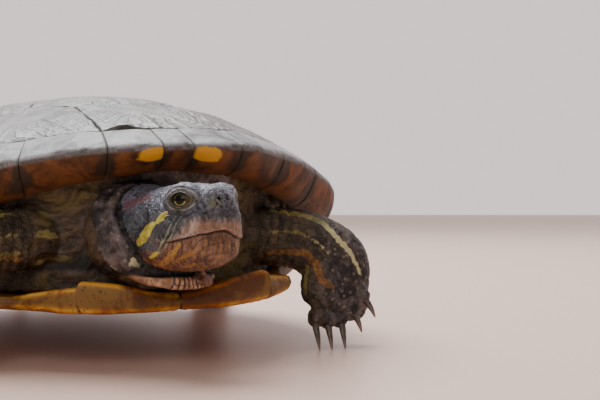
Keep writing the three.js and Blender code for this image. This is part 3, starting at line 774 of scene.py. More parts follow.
def stripe_layers(skin):
    """Fine pale lines, then orange stripes, then yellow ones. They are dull off the face."""
    mix, band, kept, mottled = skin.mix, skin.band, skin.kept, skin.mottled
    gold = mottled(0.4, 0.62, (0.32, 0.26, 0.030), (0.60, 0.54, 0.085))
    gold = mix(kept("jaw"), gold, (0.34, 0.19, 0.040))
    dull = mottled(0.4, 0.62, (0.12, 0.095, 0.028), (0.25, 0.195, 0.06))
    dull = mix(kept("collar"), dull, (0.52, 0.47, 0.24))
    amber = mottled(0.4, 0.62, (0.20, 0.085, 0.020), (0.36, 0.18, 0.045))
    rust = mottled(0.4, 0.62, (0.13, 0.058, 0.016), (0.28, 0.125, 0.035))
    return ((skin.times(band(kept("pale"), -0.1, 0.06), 0.75), (0.25, 0.29, 0.17)),
            (band(kept("orange"), -0.2, 0.2), mix(kept("face"), rust, amber)),
            (band(kept("yellow"), -0.2, 0.2), mix(kept("face"), dull, gold)))


def make_skin_finish():
    skin = SkinFinish()
    mix, band, times, kept = skin.mix, skin.band, skin.times, skin.kept
    face, collar = kept("face"), kept("collar")
    deep = skin.line(skin.math("MAXIMUM", face, collar), 0.45, 0.5)
    # Painted shade: skin is darkened by how deep it lies in a hollow or fold, most on the face and collar,
    # much less in the fold under the chin.
    hollow = times(band(kept("hollow"), 0.05, 0.55), skin.line(kept("low_collar"), -0.85, 1.0))
    dusty = times(times(band(skin.fine, 0.54, 0.72), 0.14), skin.less(1.0, kept("jaw")))
    loose = skin.mottled(0.40, 0.64, (0.018, 0.013, 0.012), (0.122, 0.092, 0.084))
    colour = skin.painted(
        mix(face, body_colour(skin), face_colour(skin)),
        (collar, loose),
        (times(times(skin.dots, collar), 0.5), (0.26, 0.22, 0.17)),
        (times(kept("low_collar"), 0.9), low_collar_colour(skin)),
        *jaw_layers(skin),
        lid_layer(skin),
        *stripe_layers(skin),
        (times(kept("root"), 0.7), (0.30, 0.165, 0.11)),
        (times(hollow, deep), (0.008, 0.006, 0.005)),
        # Painted shade: the slit of the mouth and the pits of the nostrils are painted near black.
        (kept("mouth"), (0.020, 0.010, 0.008)),
        (kept("nostril"), (0.004, 0.003, 0.003)),
        # Painted shadow: the crease where the head draws into its collar, and the gap under the chin, are
        # painted near black.
        (times(kept("crease"), 0.93), (0.006, 0.005, 0.005)),
        (dusty, (0.26, 0.25, 0.24)))
    pebbled = times(skin.grooves, skin.less(1.0, times(face, 0.5)))
    height = mix(face, mix(kept("limb"), skin.creases, pebbled), pebbled)
    rough = skin.plus(skin.ramp(face, 0.55, 0.36), skin.line(skin.fine, 0.3, -0.15))
    return skin.close(Base_Color=colour, Roughness=rough, Specular_IOR_Level=0.35,
                      Normal=skin.relief(skin.plus(height, times(skin.fine, 0.5)), 0.28, 0.75))


def make_eye_finish():
    """A black pupil, an olive iris with a painted highlight along its lower edge and barred across, and a
    dark white.
    """
    finish = Finish("wet_eye")
    mix, band, times = finish.mix, finish.band, finish.times
    off, level, fore = map(finish.kept, ("off", "level", "fore"))
    flecks = finish.noise(finish.here(), 2600.0, 3.0, 0.6)
    ragged = finish.line(flecks, 0.16, finish.less(off, 0.08))
    ring = times(band(ragged, 1.08, 1.2), band(ragged, 1.35, 1.6, flip=True))
    colour = finish.painted(
        mix(band(flecks, 0.4, 0.6), (0.030, 0.030, 0.010), (0.11, 0.105, 0.034)),
        (band(level, 0.1, 1.1), (0.016, 0.014, 0.008)),
        # Painted highlight: the pale ring, faint all round, is painted bright along the iris's lower edge.
        (times(ring, finish.line(band(level, 0.0, -0.9), 0.8, 0.08)), (0.46, 0.43, 0.15)),
        (times(band(finish.math("ABSOLUTE", level), 0.18, 0.42, flip=True), 0.9), (0.012, 0.010, 0.006)),
        (band(off, 1.5, 1.75), mix(band(fore, 0.9, 1.5), (0.022, 0.017, 0.010), (0.15, 0.075, 0.036))),
        (band(ragged, 1.0, 1.1, flip=True), (0.001, 0.001, 0.001)))
    return finish.close(Base_Color=colour, Roughness=0.35, Specular_IOR_Level=0.1, Coat_Weight=0.22,
                        Coat_Roughness=0.02)


def make_claw_finish():
    """Brown horn with a long grain, paler towards the tip."""
    finish = Finish("claw_horn")
    mix, band = finish.mix, finish.band
    grain = finish.noise(finish.stretched(finish.here(), 1.0, 1.0, 0.2), 1500.0, 4.0, 0.6)
    horn = mix(band(grain, 0.4, 0.6), (0.050, 0.036, 0.028), (0.12, 0.085, 0.065))
    colour = mix(band(finish.kept("length"), 0.45, 1.0), horn, (0.24, 0.14, 0.10))
    return finish.close(Base_Color=colour, Roughness=0.34, Normal=finish.relief(grain, 0.2, 0.5))


HORN_WEAR = make_horn_wear()
CARAPACE = make_carapace_finish()
RIM = make_rim_finish()
PLASTRON = make_plastron_finish()
SKIN = make_skin_finish()
EYE = make_eye_finish()
CLAW = make_claw_finish()


# ------------------------------------------------------------------ the flesh under one skin

HEAD_YAW = 17.0
SNOUT = Vector((1.5, -119.5, 0.0))
HEAD_TURN = Matrix.Rotation(math.radians(HEAD_YAW), 3, "Z")


def from_head(points):
    """Head-frame millimetres (out to the left, back from the snout, up) to the solids' frame."""
    return np.asarray(points, float) @ np.array(HEAD_TURN).T + np.array(SNOUT + MIDDLE)


def to_head(points):
    return (points - np.array(SNOUT + MIDDLE)) @ np.array(HEAD_TURN)


def from_head_direction(vector):
    return np.asarray(vector, float) @ np.array(HEAD_TURN).T


def along_curve(spots, t):
    """Points and headings on a smooth curve through the spots, each stretch an equal share."""
    spots = np.array(spots, float)
    stretches = len(spots) - 1
    i = np.minimum((t * stretches).astype(int), stretches - 1)
    w = (t * stretches - i)[:, None]
    padded = np.vstack([2 * spots[0] - spots[1], spots, 2 * spots[-1] - spots[-2]])
    p = [padded[i + k] for k in range(4)]
    gap = [np.linalg.norm(p[k + 1] - p[k], axis=1)[:, None] ** 0.5 for k in range(3)]
    leave = ((p[1] - p[0]) / gap[0] - (p[2] - p[0]) / (gap[0] + gap[1]) + (p[2] - p[1]) / gap[1]) * gap[1]
    arrive = ((p[2] - p[1]) / gap[1] - (p[3] - p[1]) / (gap[1] + gap[2]) + (p[3] - p[2]) / gap[2]) * gap[1]
    a, b = 2 * p[1] - 2 * p[2] + leave + arrive, -3 * p[1] + 3 * p[2] - 2 * leave - arrive
    point = ((a * w + b) * w + leave) * w + p[1]
    heading = (3 * a * w + 2 * b) * w + leave
    return point, heading / np.linalg.norm(heading, axis=1)[:, None]


def signed_power(value, power):
    return np.sign(value) * np.abs(value) ** power


def ball(name, around, rings, place):
    """A sphere primitive reshaped by place(t, turn), t running 0 to 1 from pole to pole."""
    deselect()
    bpy.ops.mesh.primitive_uv_sphere_add(segments=around, ring_count=rings, radius=1)
    piece = bpy.context.object
    piece.name = piece.data.name = name
    unit = coordinates(piece) * MM
    down = np.arccos(np.clip(unit[:, 2], -1, 1)) / math.pi
    move_to(piece, place(down, np.arctan2(unit[:, 1], unit[:, 0])))
    return piece


def limb_frame(stations, side, t):
    """Centres, headings, and directions across and along the side given, down a limb."""
    centre, heading = along_curve([s[0] for s in stations], t)
    along = np.array(side, float) - heading * (heading @ np.array(side, float))[:, None]
    along /= np.linalg.norm(along, axis=1)[:, None]
    return centre + np.array(MIDDLE), heading, np.cross(heading, along), along


def tube(name, stations, side, around=36, rings=48):
    """A round-ended tube through stations of (centre, half size across, half size along side)."""
    steps = range(len(stations))
    across_of = through([(i, stations[i][1]) for i in steps])
    along_of = through([(i, stations[i][2]) for i in steps])

    def place(t, turn):
        centre, _, across, along = limb_frame(stations, side, t)
        cap = (1 - np.abs(2 * t - 1) ** 5) ** 0.5
        a = across_of(t * (len(stations) - 1)) * cap * np.cos(turn)
        b = along_of(t * (len(stations) - 1)) * cap * np.sin(turn)
        return centre + across * a[:, None] + along * b[:, None]

    return ball(name, around, rings, place)


LOW_FOLD_SQUARE = 0.66    # how flat the folds hang under the chin: 1 is round
LOW_FOLD_SHIFT = 1.4      # to the animal's left


def ring_fold(name, behind, low, high, half_width, side_thick, low_thick, high_thick, seed):
    """A rolled fold of skin that runs round the head like a collar, behind the head's crease."""
    deselect()
    ROLL = 0.25
    bpy.ops.mesh.primitive_torus_add(major_segments=120, minor_segments=20, major_radius=1,
                                     minor_radius=ROLL)
    piece = bpy.context.object
    piece.name = piece.data.name = name
    p = coordinates(piece) * MM
    turn = np.arctan2(p[:, 1], p[:, 0])
    out, lift = (np.hypot(p[:, 0], p[:, 1]) - 1) / ROLL, p[:, 2] / ROLL
    across, up = np.cos(turn), np.sin(turn)
    loop = 3 * np.column_stack([across, up])
    end_thick = np.where(up > 0, high_thick, low_thick)
    fat = (side_thick + (end_thick - side_thick) * up ** 2) * (1 + 0.12 * ripple(loop, 2.4, seed))
    wide = half_width + 0.4 * ripple(loop, 3.0, seed + 2)
    square = np.where(up < 0, LOW_FOLD_SQUARE, 0.9)
    chin = smoothstep(-up, 0.3, 0.8)
    inward = np.maximum(0, -out) * chin
    out = out - 1.2 * inward
    x = signed_power(across, square) * wide + across * out * fat + LOW_FOLD_SHIFT * chin
    z = (low + high) / 2 + signed_power(up, square) * (high - low) / 2 + up * out * fat
    y = crease_back(up) + behind + (lift + 1) * fat + 1.4 * inward * fat
    move_to(piece, from_head(np.column_stack([x, y, z])))
    return piece


HEAD_STATIONS = [   # back from the snout tip: half width, height of the crown and of the throat
    (0, 4.2, 42.6, 31), (1.2, 6.4, 44.4, 28), (3.5, 8, 45.5, 26.4), (7, 9.4, 45.9, 25.6),
    (11, 10.6, 46.1, 24.9), (16, 11.7, 45.8, 24.1), (22, 12, 45, 23.4), (28, 11.4, 43.8, 23.6),
    (35, 9.5, 42, 25)]
head_half, head_crown, head_throat = (through([(s[0], s[k]) for s in HEAD_STATIONS]) for k in (1, 2, 3))
HEAD_MIDDLE = 33.8       # height of the line that the crease runs round
BESIDE_HEAD = 15.0       # half width of all that belongs to the head
EYE_AT = (5.3, 7.4, 41.9)
EYE_RADIUS = 3.8
LID_THICKNESS = 1.0
LID_SHAPE = (1, 1, 0.91)

# How far back the crease is, from -1 under the chin to 1 on the crown.
crease_back = through([(-1, 12.1), (-0.86, 15), (-0.6, 18), (-0.285, 20), (0, 21.8), (0.36, 25.4), (1, 31)])


def behind_crease(head):
    """How far a point on the head lies behind the crease where it draws into its collar. The
    crease leans back, so that the chin shows less of the head than the crown does."""
    rise = head[:, 2] - HEAD_MIDDLE
    return head[:, 1] - crease_back(rise / np.maximum(np.hypot(head[:, 0], rise), 0.01))


def head_form(t, turn):
    length = HEAD_STATIONS[-1][0]
    back = length * np.where(t < 0.5, 2 * t * t, 1 - 2 * (1 - t) ** 2)
    cap = np.sin(np.minimum(math.pi / 2, 3.2 * math.pi * np.minimum(t, 1 - t)))
    up = np.sin(turn)

    def spot(drawn_in):
        half, crown = head_half(back) - drawn_in, head_crown(back) - 0.8 * drawn_in
        throat = head_throat(back) + 0.6 * drawn_in
        x = half * cap * signed_power(np.cos(turn), 0.85) * (1 - 0.16 * np.maximum(0, up))
        z = (crown + throat) / 2 + (crown - throat) / 2 * cap * signed_power(up, 0.8)
        return np.column_stack([x, back, z])

    return from_head(spot(1.9 * smoothstep(behind_crease(spot(0)), -1.0, 0.8)))


def eye_centre(side):
    return np.array([side * EYE_AT[0], EYE_AT[1], EYE_AT[2]])


def lid_form(side):
    def place(t, turn):
        unit = np.column_stack([np.sin(t * math.pi) * np.cos(turn), np.sin(t * math.pi) * np.sin(turn),
                                np.cos(t * math.pi)])
        return from_head(eye_centre(side) + unit * (EYE_RADIUS + LID_THICKNESS) * LID_SHAPE)
    return place


flesh_share = through([(0, 0.82), (25, 0.85), (50, 0.82), (90, 0.8), (135, 0.76), (180, 0.8)])
SKIN_ROOT = 0.872        # where the skin leaves the rim, as a share of the shell's outline
ROOF_DEPTH = 5.9         # from the dome's outside to the body inside it


def trunk_form(t, turn):
    """The body inside the shell: roof under the dome, skin hanging in from the rim, floor."""
    ROOF_END, WALL_END = 0.4, 0.6
    angle = np.degrees(turn)
    waist = flesh_share(np.abs(angle)) - 0.03
    wall = np.clip((t - ROOF_END) / (WALL_END - ROOF_END), 0, 1)
    share = np.where(t < ROOF_END, SKIN_ROOT * t / ROOF_END,
                     np.where(t > WALL_END, waist * (1 - t) / (1 - WALL_END),
                              SKIN_ROOT + (waist - SKIN_ROOT) * np.sin(wall * math.pi / 2)))
    xy = rim_point(angle, share)
    roof = dome_height(*xy.T) - ROOF_DEPTH
    floor = plastron_top(*xy.T) + 0.6
    z = roof + (floor - roof) * wall ** 1.1
    return from_shell(np.column_stack([xy, z]))


NECK_IN_HEAD = [((0, 20, 30.6), 9.6, 9.8), ((0, 24, 31.6), 11.6, 12), ((0, 28, 32.6), 12.8, 12.8),
                ((0, 34, 33.5), 13, 13.8)]
NECK_STATIONS = [(from_head(spot) - np.array(MIDDLE), a, b) for spot, a, b in NECK_IN_HEAD] + [
    ((-4, -74, 33.5), 13, 12.5)]
TAIL_STATIONS = [((0, 68, 22.5), 6.2, 7.5), ((0, 83, 19.4), 5.2, 6), ((2, 97, 15), 3.8, 4),
                 ((5, 109, 10.5), 2.4, 2.6), ((9, 119, 7.5), 1.2, 1.2)]


def fore_place(side):
    """Forelimb places from the left one's: out, along and up. The right arm is drawn forward."""
    return lambda x, y, z: np.array([side * x, y + (0 if side > 0 else -6), z], float)


def hind_place(side):
    forward, lift = (-4, 1.4) if side > 0 else (2, -1.8)
    return lambda x, y, z: np.array([side * x, y + forward, z + lift * float(smoothstep(z, 4, 16))], float)


FORE_ROOTS = {1: ((24, -58, 31.4), 8.5, 8), -1: ((-22, -68, 33), 11, 10)}
FORE_STATIONS = [((36, -62, 31.6), 8.6, 8), ((49, -65, 30), 8.8, 7.4), ((57.5, -67, 23.5), 10.4, 6.8),
                 ((56.5, -69, 16.5), 10.8, 5.8), ((55.5, -71, 11.5), 10.8, 4.8),
                 ((54.5, -72.5, 8.6), 9.6, 3.4)]
FORE_TOES = [(-7.4, 6.8, -7.8, -0.4), (-3.4, 6.2, -3.9, -0.4), (0.9, 6.4, 0.3, -0.4), (5.2, 9, 5.6, 4.2),
             (8.8, 13, 10, 8.2)]        # sideways and up at the knuckle, then at the claw's tip
HIND_STATIONS = [((24, 46, 23), 5.6, 8.5), ((38, 48, 22.6), 5, 9.5), ((51, 49, 19.9), 4.4, 9.5),
                 ((61, 52, 13), 4.1, 8.5), ((66, 59, 10.5), 5.2, 7), ((69, 66, 7), 4.8, 7),
                 ((72, 74, 4.4), 3.4, 8.5), ((75, 81, 2.8), 2.2, 8.5)]
HIND_TOES = [(-7.5, 80, -9.5, 85), (-3, 83, -4, 89), (2, 84, 2.2, 90.5), (6.8, 82, 8, 88)]
# The way a limb's second half size runs.
ARM_SIDE, LEG_SIDE, TAIL_SIDE = (0, 1, 0), (1, -0.35, 0), (1, 0, 0)


def arm_stations(side):
    return [FORE_ROOTS[side]] + [(fore_place(side)(*spot), a, b) for spot, a, b in FORE_STATIONS]


def leg_stations(side):
    return [(hind_place(side)(*spot), a, b) for spot, a, b in HIND_STATIONS]


def toes():
    """Root, knuckle and claw tip of every toe, with its half thickness and its name."""
    found = []
    for side, hand in ((1, "left"), (-1, "right")):
        at = fore_place(side)
        for n, (out, up, tip_out, tip_up) in enumerate(FORE_TOES):
            found.append((at(55 + 0.8 * out, -71.5, up + 4), at(55 + out, -74.5, up),
                          at(55 + tip_out, -78, tip_up), 2.4, f"fore_{hand}_{n + 1}"))
        at = hind_place(side)
        for n, (out, back, tip_out, tip_back) in enumerate(HIND_TOES):
            found.append((at(75 + 0.8 * out, back - 5, 3.4), at(76.5 + out, back, 2.4),
                          at(77.5 + tip_out, tip_back, 0), 2.1, f"hind_{hand}_{n + 1}"))
    return found


def flesh_forms():
    """Every part of the body that the skin wraps, overlapping where they join."""
    forms = [ball("trunk_form", 128, 60, trunk_form), ball("head_form", 96, 96, head_form),
             ball("lid_form", 32, 24, lid_form(1)), ball("lid_form", 32, 24, lid_form(-1)),
             tube("neck_form", NECK_STATIONS, (1, 0.2, 0), 64, 48),
             tube("tail_form", TAIL_STATIONS, TAIL_SIDE),
             ring_fold("collar_fold", 0.3, 21.9, 45.2, 12.0, 2.5, 1.75, 1.1, 1.0),
             ring_fold("second_fold", 4.4, 22.4, 45.4, 14.0, 2.2, 1.8, 1.2, 4.0)]
    for side in (1, -1):
        forms.append(tube("arm_form", arm_stations(side), ARM_SIDE, 48, 64))
        forms.append(tube("leg_form", leg_stations(side), LEG_SIDE, 48, 64))
    for root, knuckle, tip, thick, _ in toes():
        end = knuckle + (tip - knuckle) / np.linalg.norm(tip - knuckle) * 0.3
        stations = [(root, thick, thick), (end, thick, thick * 0.9)]
        forms.append(tube("toe_form", stations, (1, 0.2, 0), 20, 20))
    return forms


def joined(pieces, name):
    deselect()
    for piece in pieces:
        piece.select_set(True)
    bpy.context.view_layer.objects.active = pieces[0]
    bpy.ops.object.join()
    pieces[0].name = pieces[0].data.name = name
    return pieces[0]


def edges_of(piece):
    ends = np.empty(len(piece.data.edges) * 2, np.int32)
    piece.data.edges.foreach_get("vertices", ends)
    return ends.reshape(-1, 2)


def mean_of_neighbours(points, ends):
    count = len(points)
    first, last = ends.T
    sums = [np.bincount(first, points[last, k], count) + np.bincount(last, points[first, k], count)
            for k in range(3)]
    return np.column_stack(sums) / np.bincount(ends.ravel(), minlength=count)[:, None]


def relax(piece, rounds, weight=1.0):
    """Evens out the surface without shrinking it, by easing in and then out again."""
    points, ends = coordinates(piece), edges_of(piece)
    weight = np.broadcast_to(weight, len(points))[:, None]
    for step in range(rounds * 2):
        ease = 0.5 if step % 2 == 0 else -0.52
        points = points + ease * weight * (mean_of_neighbours(points, ends) - points)
    move_to(piece, points)


def select_faces(piece, chosen):
    """Leaves the faces whose vertices are all chosen selected, in edit mode."""
    work_on(piece)
    mesh = piece.data
    mesh.polygons.foreach_set("select", np.zeros(len(mesh.polygons), bool))
    mesh.edges.foreach_set("select", np.zeros(len(mesh.edges), bool))
    mesh.vertices.foreach_set("select", np.asarray(chosen, bool))
    bpy.ops.object.mode_set(mode="EDIT")
    bpy.ops.mesh.select_mode(type="VERT")
    bpy.ops.mesh.select_mode(type="FACE")


def subdivide_where(piece, chosen):
    select_faces(piece, chosen)
    bpy.ops.mesh.subdivide(number_cuts=1)
    bpy.ops.object.mode_set(mode="OBJECT")


def thin_out(piece, hidden, ratio):
    """Keeps few faces where the shell hides the skin."""
    group = piece.vertex_groups.new(name="hidden")
    group.add([int(i) for i in np.flatnonzero(hidden)], 1.0, "REPLACE")
    apply(piece, "DECIMATE", ratio=ratio, vertex_group="hidden")
    piece.vertex_groups.clear()


def distance_along(points, line):
    """Distance to a line of 3-D points, and where along it (0 to 1) the nearest place is."""
    line = np.array(line, float)
    best, place = np.full(len(points), 1e9), np.zeros(len(points))
    for k in range(len(line) - 1):
        run = line[k + 1] - line[k]
        t = np.clip((points - line[k]) @ run / (run @ run), 0, 1)
        gap = np.linalg.norm(points - line[k] - t[:, None] * run, axis=1)
        place = np.where(gap < best, (k + t) / (len(line) - 1), place)
        best = np.minimum(best, gap)
    return best, place


SKIN_VOXEL = 0.8
SOLE = 0.75              # skin this near the floor is pressed flat on it
ROOF_GAP = 1.2           # at least this far under the scutes
ROOF_SHARE = 0.84        # out to this share of the shell's outline
MOUTH = [(-9.9, 9.2, 32.0), (-9.4, 7.7, 32.3), (-8.6, 5.3, 32.8), (-7.6, 2.9, 33.4), (-6.2, 1.3, 34.0),
         (-4.3, 0.7, 34.2), (-2.6, 0.3, 34.6), (-1, 0.1, 34.8), (0.4, 0.1, 34.9), (1.8, 0.2, 34.5),
         (2.9, 0.4, 33.9), (4.8, 0.9, 33.1), (6.8, 1.9, 32.8), (8.2, 4, 32.6), (9.2, 6.8, 32.3),
         (9.9, 9.2, 32)]          # from the right corner round to the left one
NOSTRILS = [(-0.6, 0.8, 42.4), (1.8, 0.9, 42.4)]
LOOK = Vector((0.863, -0.505, 0.04)).normalized()     # the left eye's line of sight
OPENING = (2.15, 1.50)                                # half width and half height between the lids
LID_PROFILE = through([
    (0, -1.7), (0.86, -1.7), (0.96, -1.15), (1.03, -0.55), (1.13, -0.46), (1.32, -0.62), (1.5, -0.38),
    (1.72, -0.30), (1.9, -0.45), (2.15, 0.06), (2.4, -0.1), (2.62, -0.2), (3.0, 0)])


def to_shell(points):
    return (points - np.array(MIDDLE) - np.array([0, 0, SHELL_CLEARANCE])) @ np.array(SHELL_TURN)


def inside_shell(points):
    """Distance out from the shell's middle in plan, as a share of its outline."""
    flat = to_shell(points)
    angle = np.degrees(np.arctan2(np.abs(flat[:, 0]), -flat[:, 1]))
    return np.hypot(flat[:, 0], flat[:, 1]) / rim_reach(angle)


def below_roof(points):
    """How far each point lies below the roof of the body, under the dome."""
    flat = to_shell(points)
    return dome_height(flat[:, 0], flat[:, 1]) - ROOF_DEPTH - flat[:, 2]


def sight_lines(side):
    """The eye's line of sight, and the directions across and up from it."""
    sight = np.array([side * LOOK[0], LOOK[1], LOOK[2]])
    across = np.cross(sight, (0, 0, 1))
    across /= np.linalg.norm(across)
    return sight, across, np.cross(across, sight)


def eye_frame(head, side):
    """How far each point is above the eye's line of sight, and its place round the opening
    between the lids: 1 on their edge, growing outwards."""
    sight, across, lift = sight_lines(side)
    from_eye = head - eye_centre(side)
    u, w, out = from_eye @ across, from_eye @ lift - 0.15, from_eye @ sight
    spread = (np.abs(u / OPENING[0]) ** 1.8 + np.abs(w / OPENING[1]) ** 1.8) ** (1 / 1.8)
    spread = np.where((out > 0.8) & (np.linalg.norm(from_eye, axis=1) < 8), spread, 9.0)
    return w, spread


def mouth_frame(head):
    """Distance from the mouth line, and height above it."""
    gap, place = distance_along(head, MOUTH)
    line = np.array(MOUTH, float)
    level = np.interp(place * (len(line) - 1), np.arange(len(line)), line[:, 2])
    return gap, head[:, 2] - level


def largest_piece(piece):
    """Deletes the crumbs that the voxels leave apart from the body."""
    ends = edges_of(piece)
    label = np.arange(len(piece.data.vertices))
    while True:
        lowest = np.minimum(label[ends[:, 0]], label[ends[:, 1]])
        fresh = label.copy()
        np.minimum.at(fresh, ends[:, 0], lowest)
        np.minimum.at(fresh, ends[:, 1], lowest)
        fresh = fresh[fresh]
        if (fresh == label).all():
            break
        label = fresh
    names, counts = np.unique(label, return_counts=True)
    select_faces(piece, label != names[np.argmax(counts)])
    bpy.ops.mesh.select_mode(type="VERT")
    bpy.ops.mesh.delete(type="VERT")
    bpy.ops.object.mode_set(mode="OBJECT")


def cavity(piece, rounds):
    """How far each vertex lies below its surroundings, in millimetres."""
    points, ends = coordinates(piece), edges_of(piece)
    mean = points
    for _ in range(rounds):
        mean = mean_of_neighbours(mean, ends)
    return np.einsum("ij,ij->i", mean - points, normals(piece))


def pebbles(points, size, seed):
    """Rounded scales of about this size, side by side: 0 in the grooves to 1 on their tops."""
    spot = points / size
    base = np.floor(spot)
    near, next_near = np.full(len(points), 9.0), np.full(len(points), 9.0)
    for dx in (-1, 0, 1):
        for dy in (-1, 0, 1):
            for dz in (-1, 0, 1):
                cell = base + np.array([dx, dy, dz])
                mix = np.sin(cell @ np.array([12.9898, 78.233, 37.719]) + seed) * 43758.5453
                jitter = np.column_stack([mix, mix * 1.7 + 0.3, mix * 2.3 + 0.7]) % 1.0
                gap = np.linalg.norm(cell + 0.15 + 0.7 * jitter - spot, axis=1)
                next_near = np.minimum(next_near, np.maximum(near, gap))
                near = np.minimum(near, gap)
    return smoothstep(next_near - near, 0.0, 0.45)


def limb_places(points, stations, side):
    """For points near a limb: how far along it in millimetres, the turn round it, and how far
    out from its centre line as a share of its thickness there."""
    t = np.linspace(0, 1, 90)
    centre, heading, across, along = limb_frame(stations, side, t)
    travelled = np.concatenate([[0], np.cumsum(np.linalg.norm(np.diff(centre, axis=0), axis=1))])
    gaps = np.linalg.norm(points[:, None, :] - centre[None], axis=2)
    nearest = np.argmin(gaps, axis=1)
    from_centre = points - centre[nearest]
    step, a, b = (np.einsum("ij,ij->i", from_centre, way[nearest]) for way in (heading, across, along))
    places = t[nearest] * (len(stations) - 1)
    steps = np.arange(len(stations))
    half_a, half_b = (np.interp(places, steps, [s[k] for s in stations]) for k in (1, 2))
    return travelled[nearest] + step, np.arctan2(b, a), np.hypot(a / half_a, b / half_b)


def scale_rows(along, turn, radius, length, width, seed):
    """Scales in staggered rows round a limb: 0 in the grooves to 1 on their tops."""
    along = along / length + 0.25 * np.sin(turn * 3 + seed) + 0.12 * np.sin(turn * 7 + seed * 2)
    row = np.floor(along)
    count = np.maximum(4, np.round(2 * math.pi * radius / width))
    place = turn / (2 * math.pi) * count + 0.5 * (row % 2) + 0.3 * np.sin(row * 2.1 + seed)
    edge = np.minimum(np.minimum(along % 1, 1 - along % 1) * length,
                      np.minimum(place % 1, 1 - place % 1) * width)
    return smoothstep(edge, 0.0, 0.55)


def limb_line(stations, side, turn, start, finish):
    """A line along a limb's skin at a turn round it, from one share of its length to another."""
    t = np.linspace(start, finish, 14)
    centre, _, across, along = limb_frame(stations, side, t)
    steps = np.arange(len(stations))
    a = np.interp(t * steps[-1], steps, [s[1] for s in stations]) * math.cos(turn)
    b = np.interp(t * steps[-1], steps, [s[2] for s in stations]) * math.sin(turn)
    return centre + across * a[:, None] + along * b[:, None]


# Stripes as lines on the skin with half widths from one end to the other, in millimetres.
# Head lines are in the head's frame for its right side, and the left side has the same.
HEAD_YELLOW = [
    ([(-9.6, 9.4, 39), (-10.1, 10.3, 38), (-10.4, 11.3, 37.3)], (0.55, 0.95, 0.8)),
    ([(-10.8, 12.0, 36.9), (-11.0, 12.9, 36.2), (-11.4, 14.4, 34.7), (-11.6, 15.7, 33.3), (-11.8, 17, 32.1),
      (-12.2, 18, 31.1), (-12.9, 18.5, 30.2)], (0.25, 0.8, 1.4, 1.35, 0.95, 0.5, 0.15)),
    ([(-9.9, 11.6, 29.6), (-10.1, 13.4, 29.0), (-10.3, 15.4, 28.3)], (0.25, 0.65, 0.3)),
    ([(-8.6, 5.8, 31.7), (-8.6, 7.2, 30.2), (-8.6, 8.7, 29)], (0.5, 0.6, 0.3)),
]
HEAD_ORANGE = [
    ([(-8.6, 7.4, 30), (-8.6, 8.7, 29), (-8.5, 10.9, 27.5), (-8.2, 13.2, 26.2), (-8.3, 15.1, 25.7)],
     (0.7, 0.9, 0.95, 0.9, 0.5)),
    ([(-6.3, 1.9, 31), (-6.7, 3.2, 29.8), (-7.2, 4.8, 29.1), (-7.4, 7.2, 28.1), (-7.5, 9.4, 27.1)],
     (0.25, 0.5, 0.6, 0.5, 0.4)),
    ([(-2, 0.3, 33.2), (-2, 0.6, 31.1), (-2.2, 1.1, 28.8)], (0.1, 0.22, 0.1)),
    ([(-4.3, 0.7, 32.8), (-4.8, 1.1, 31), (-5.4, 2.6, 28.6)], (0.1, 0.25, 0.1)),
    ([(1.0, 0.3, 32.7), (0.7, 0.7, 30.4), (0.3, 1.3, 28)], (0.1, 0.2, 0.1)),
    ([(-5.0, 4.5, 26.9), (-5.2, 9, 25.2), (-5.6, 14, 24)], (0.5, 0.9, 0.6)),
    ([(-1.4, 5.0, 25.9), (-1.6, 9, 24.5), (-2, 14, 23.4)], (0.5, 0.8, 0.6)),
]
HEAD_PALE = [
    ([(-8.9, 6.4, 38.3), (-9.5, 7.5, 36.5), (-9.8, 8.3, 34.6), (-10, 9.5, 32.7), (-10.2, 11.3, 30.8),
      (-10, 13.1, 28.9)], (0.1, 0.2, 0.16)),
    ([(-8.4, 5.1, 38.1), (-9.2, 6.4, 36), (-9.4, 7.2, 34.1), (-9.6, 8.5, 32.3), (-9.7, 10.3, 30.4),
      (-9.8, 13, 28.4)], (0.08, 0.16, 0.12)),
    ([(-10.4, 10.5, 34.6), (-10.2, 10.1, 32.7), (-10.1, 11, 30.8), (-10, 12.3, 29.4)], (0.1, 0.14, 0.1)),
    ([(-14.1, 19.4, 38), (-13.2, 18.3, 37.1), (-11.9, 17.3, 35.9)], (0.16, 0.3, 0.14)),
    ([(-13.1, 18.4, 38.7), (-13.2, 18.3, 37.1), (-12.7, 18.1, 34.9)], (0.12, 0.3, 0.12)),
    ([(-5.4, 2.2, 43.9), (-3.6, 1.6, 44.2), (-1.6, 1.2, 44.3)], (0.08, 0.14, 0.08)),
    ([(-9.2, 10.5, 41.6), (-10.4, 13, 41), (-11.2, 16, 40.4)], (0.1, 0.16, 0.1)),
    ([(-9.6, 11.4, 43), (-10.4, 14, 42.6), (-10.8, 17, 42)], (0.08, 0.14, 0.08)),
    ([(-10.9, 9.4, 36.2), (-11.2, 11, 34.2), (-11.3, 12.6, 32.2), (-11, 14.6, 30.4)], (0.08, 0.15, 0.1)),
]
ARM_YELLOW = [   # on the left forelimb, and mirrored on the right one
    ([(37.9, -65.4, 38.9), (42.1, -67.2, 38.3), (46.4, -68.2, 37.7), (52, -69.9, 35.4), (55.5, -71.8, 31.1),
      (59.3, -72.5, 27.1), (62.4, -72.8, 20.9)], (0.8, 0.9, 1.0, 1.0, 0.9, 0.8, 0.5)),
    ([(36.2, -69.1, 33), (40.4, -70.2, 33), (44.2, -70.8, 32.7), (49.1, -71.8, 30.1), (52.5, -72.6, 26.6)],
     (0.4, 0.5, 0.5, 0.4, 0.2)),
]
ARM_ORANGE = [
    ([(35.4, -67.7, 27), (40.2, -69.3, 27.3), (45.8, -70.7, 27), (48.9, -70.9, 24), (50.2, -72.7, 19.3),
      (53.1, -73.9, 17)], (0.6, 0.8, 1.0, 1.1, 1.0, 0.6)),
]
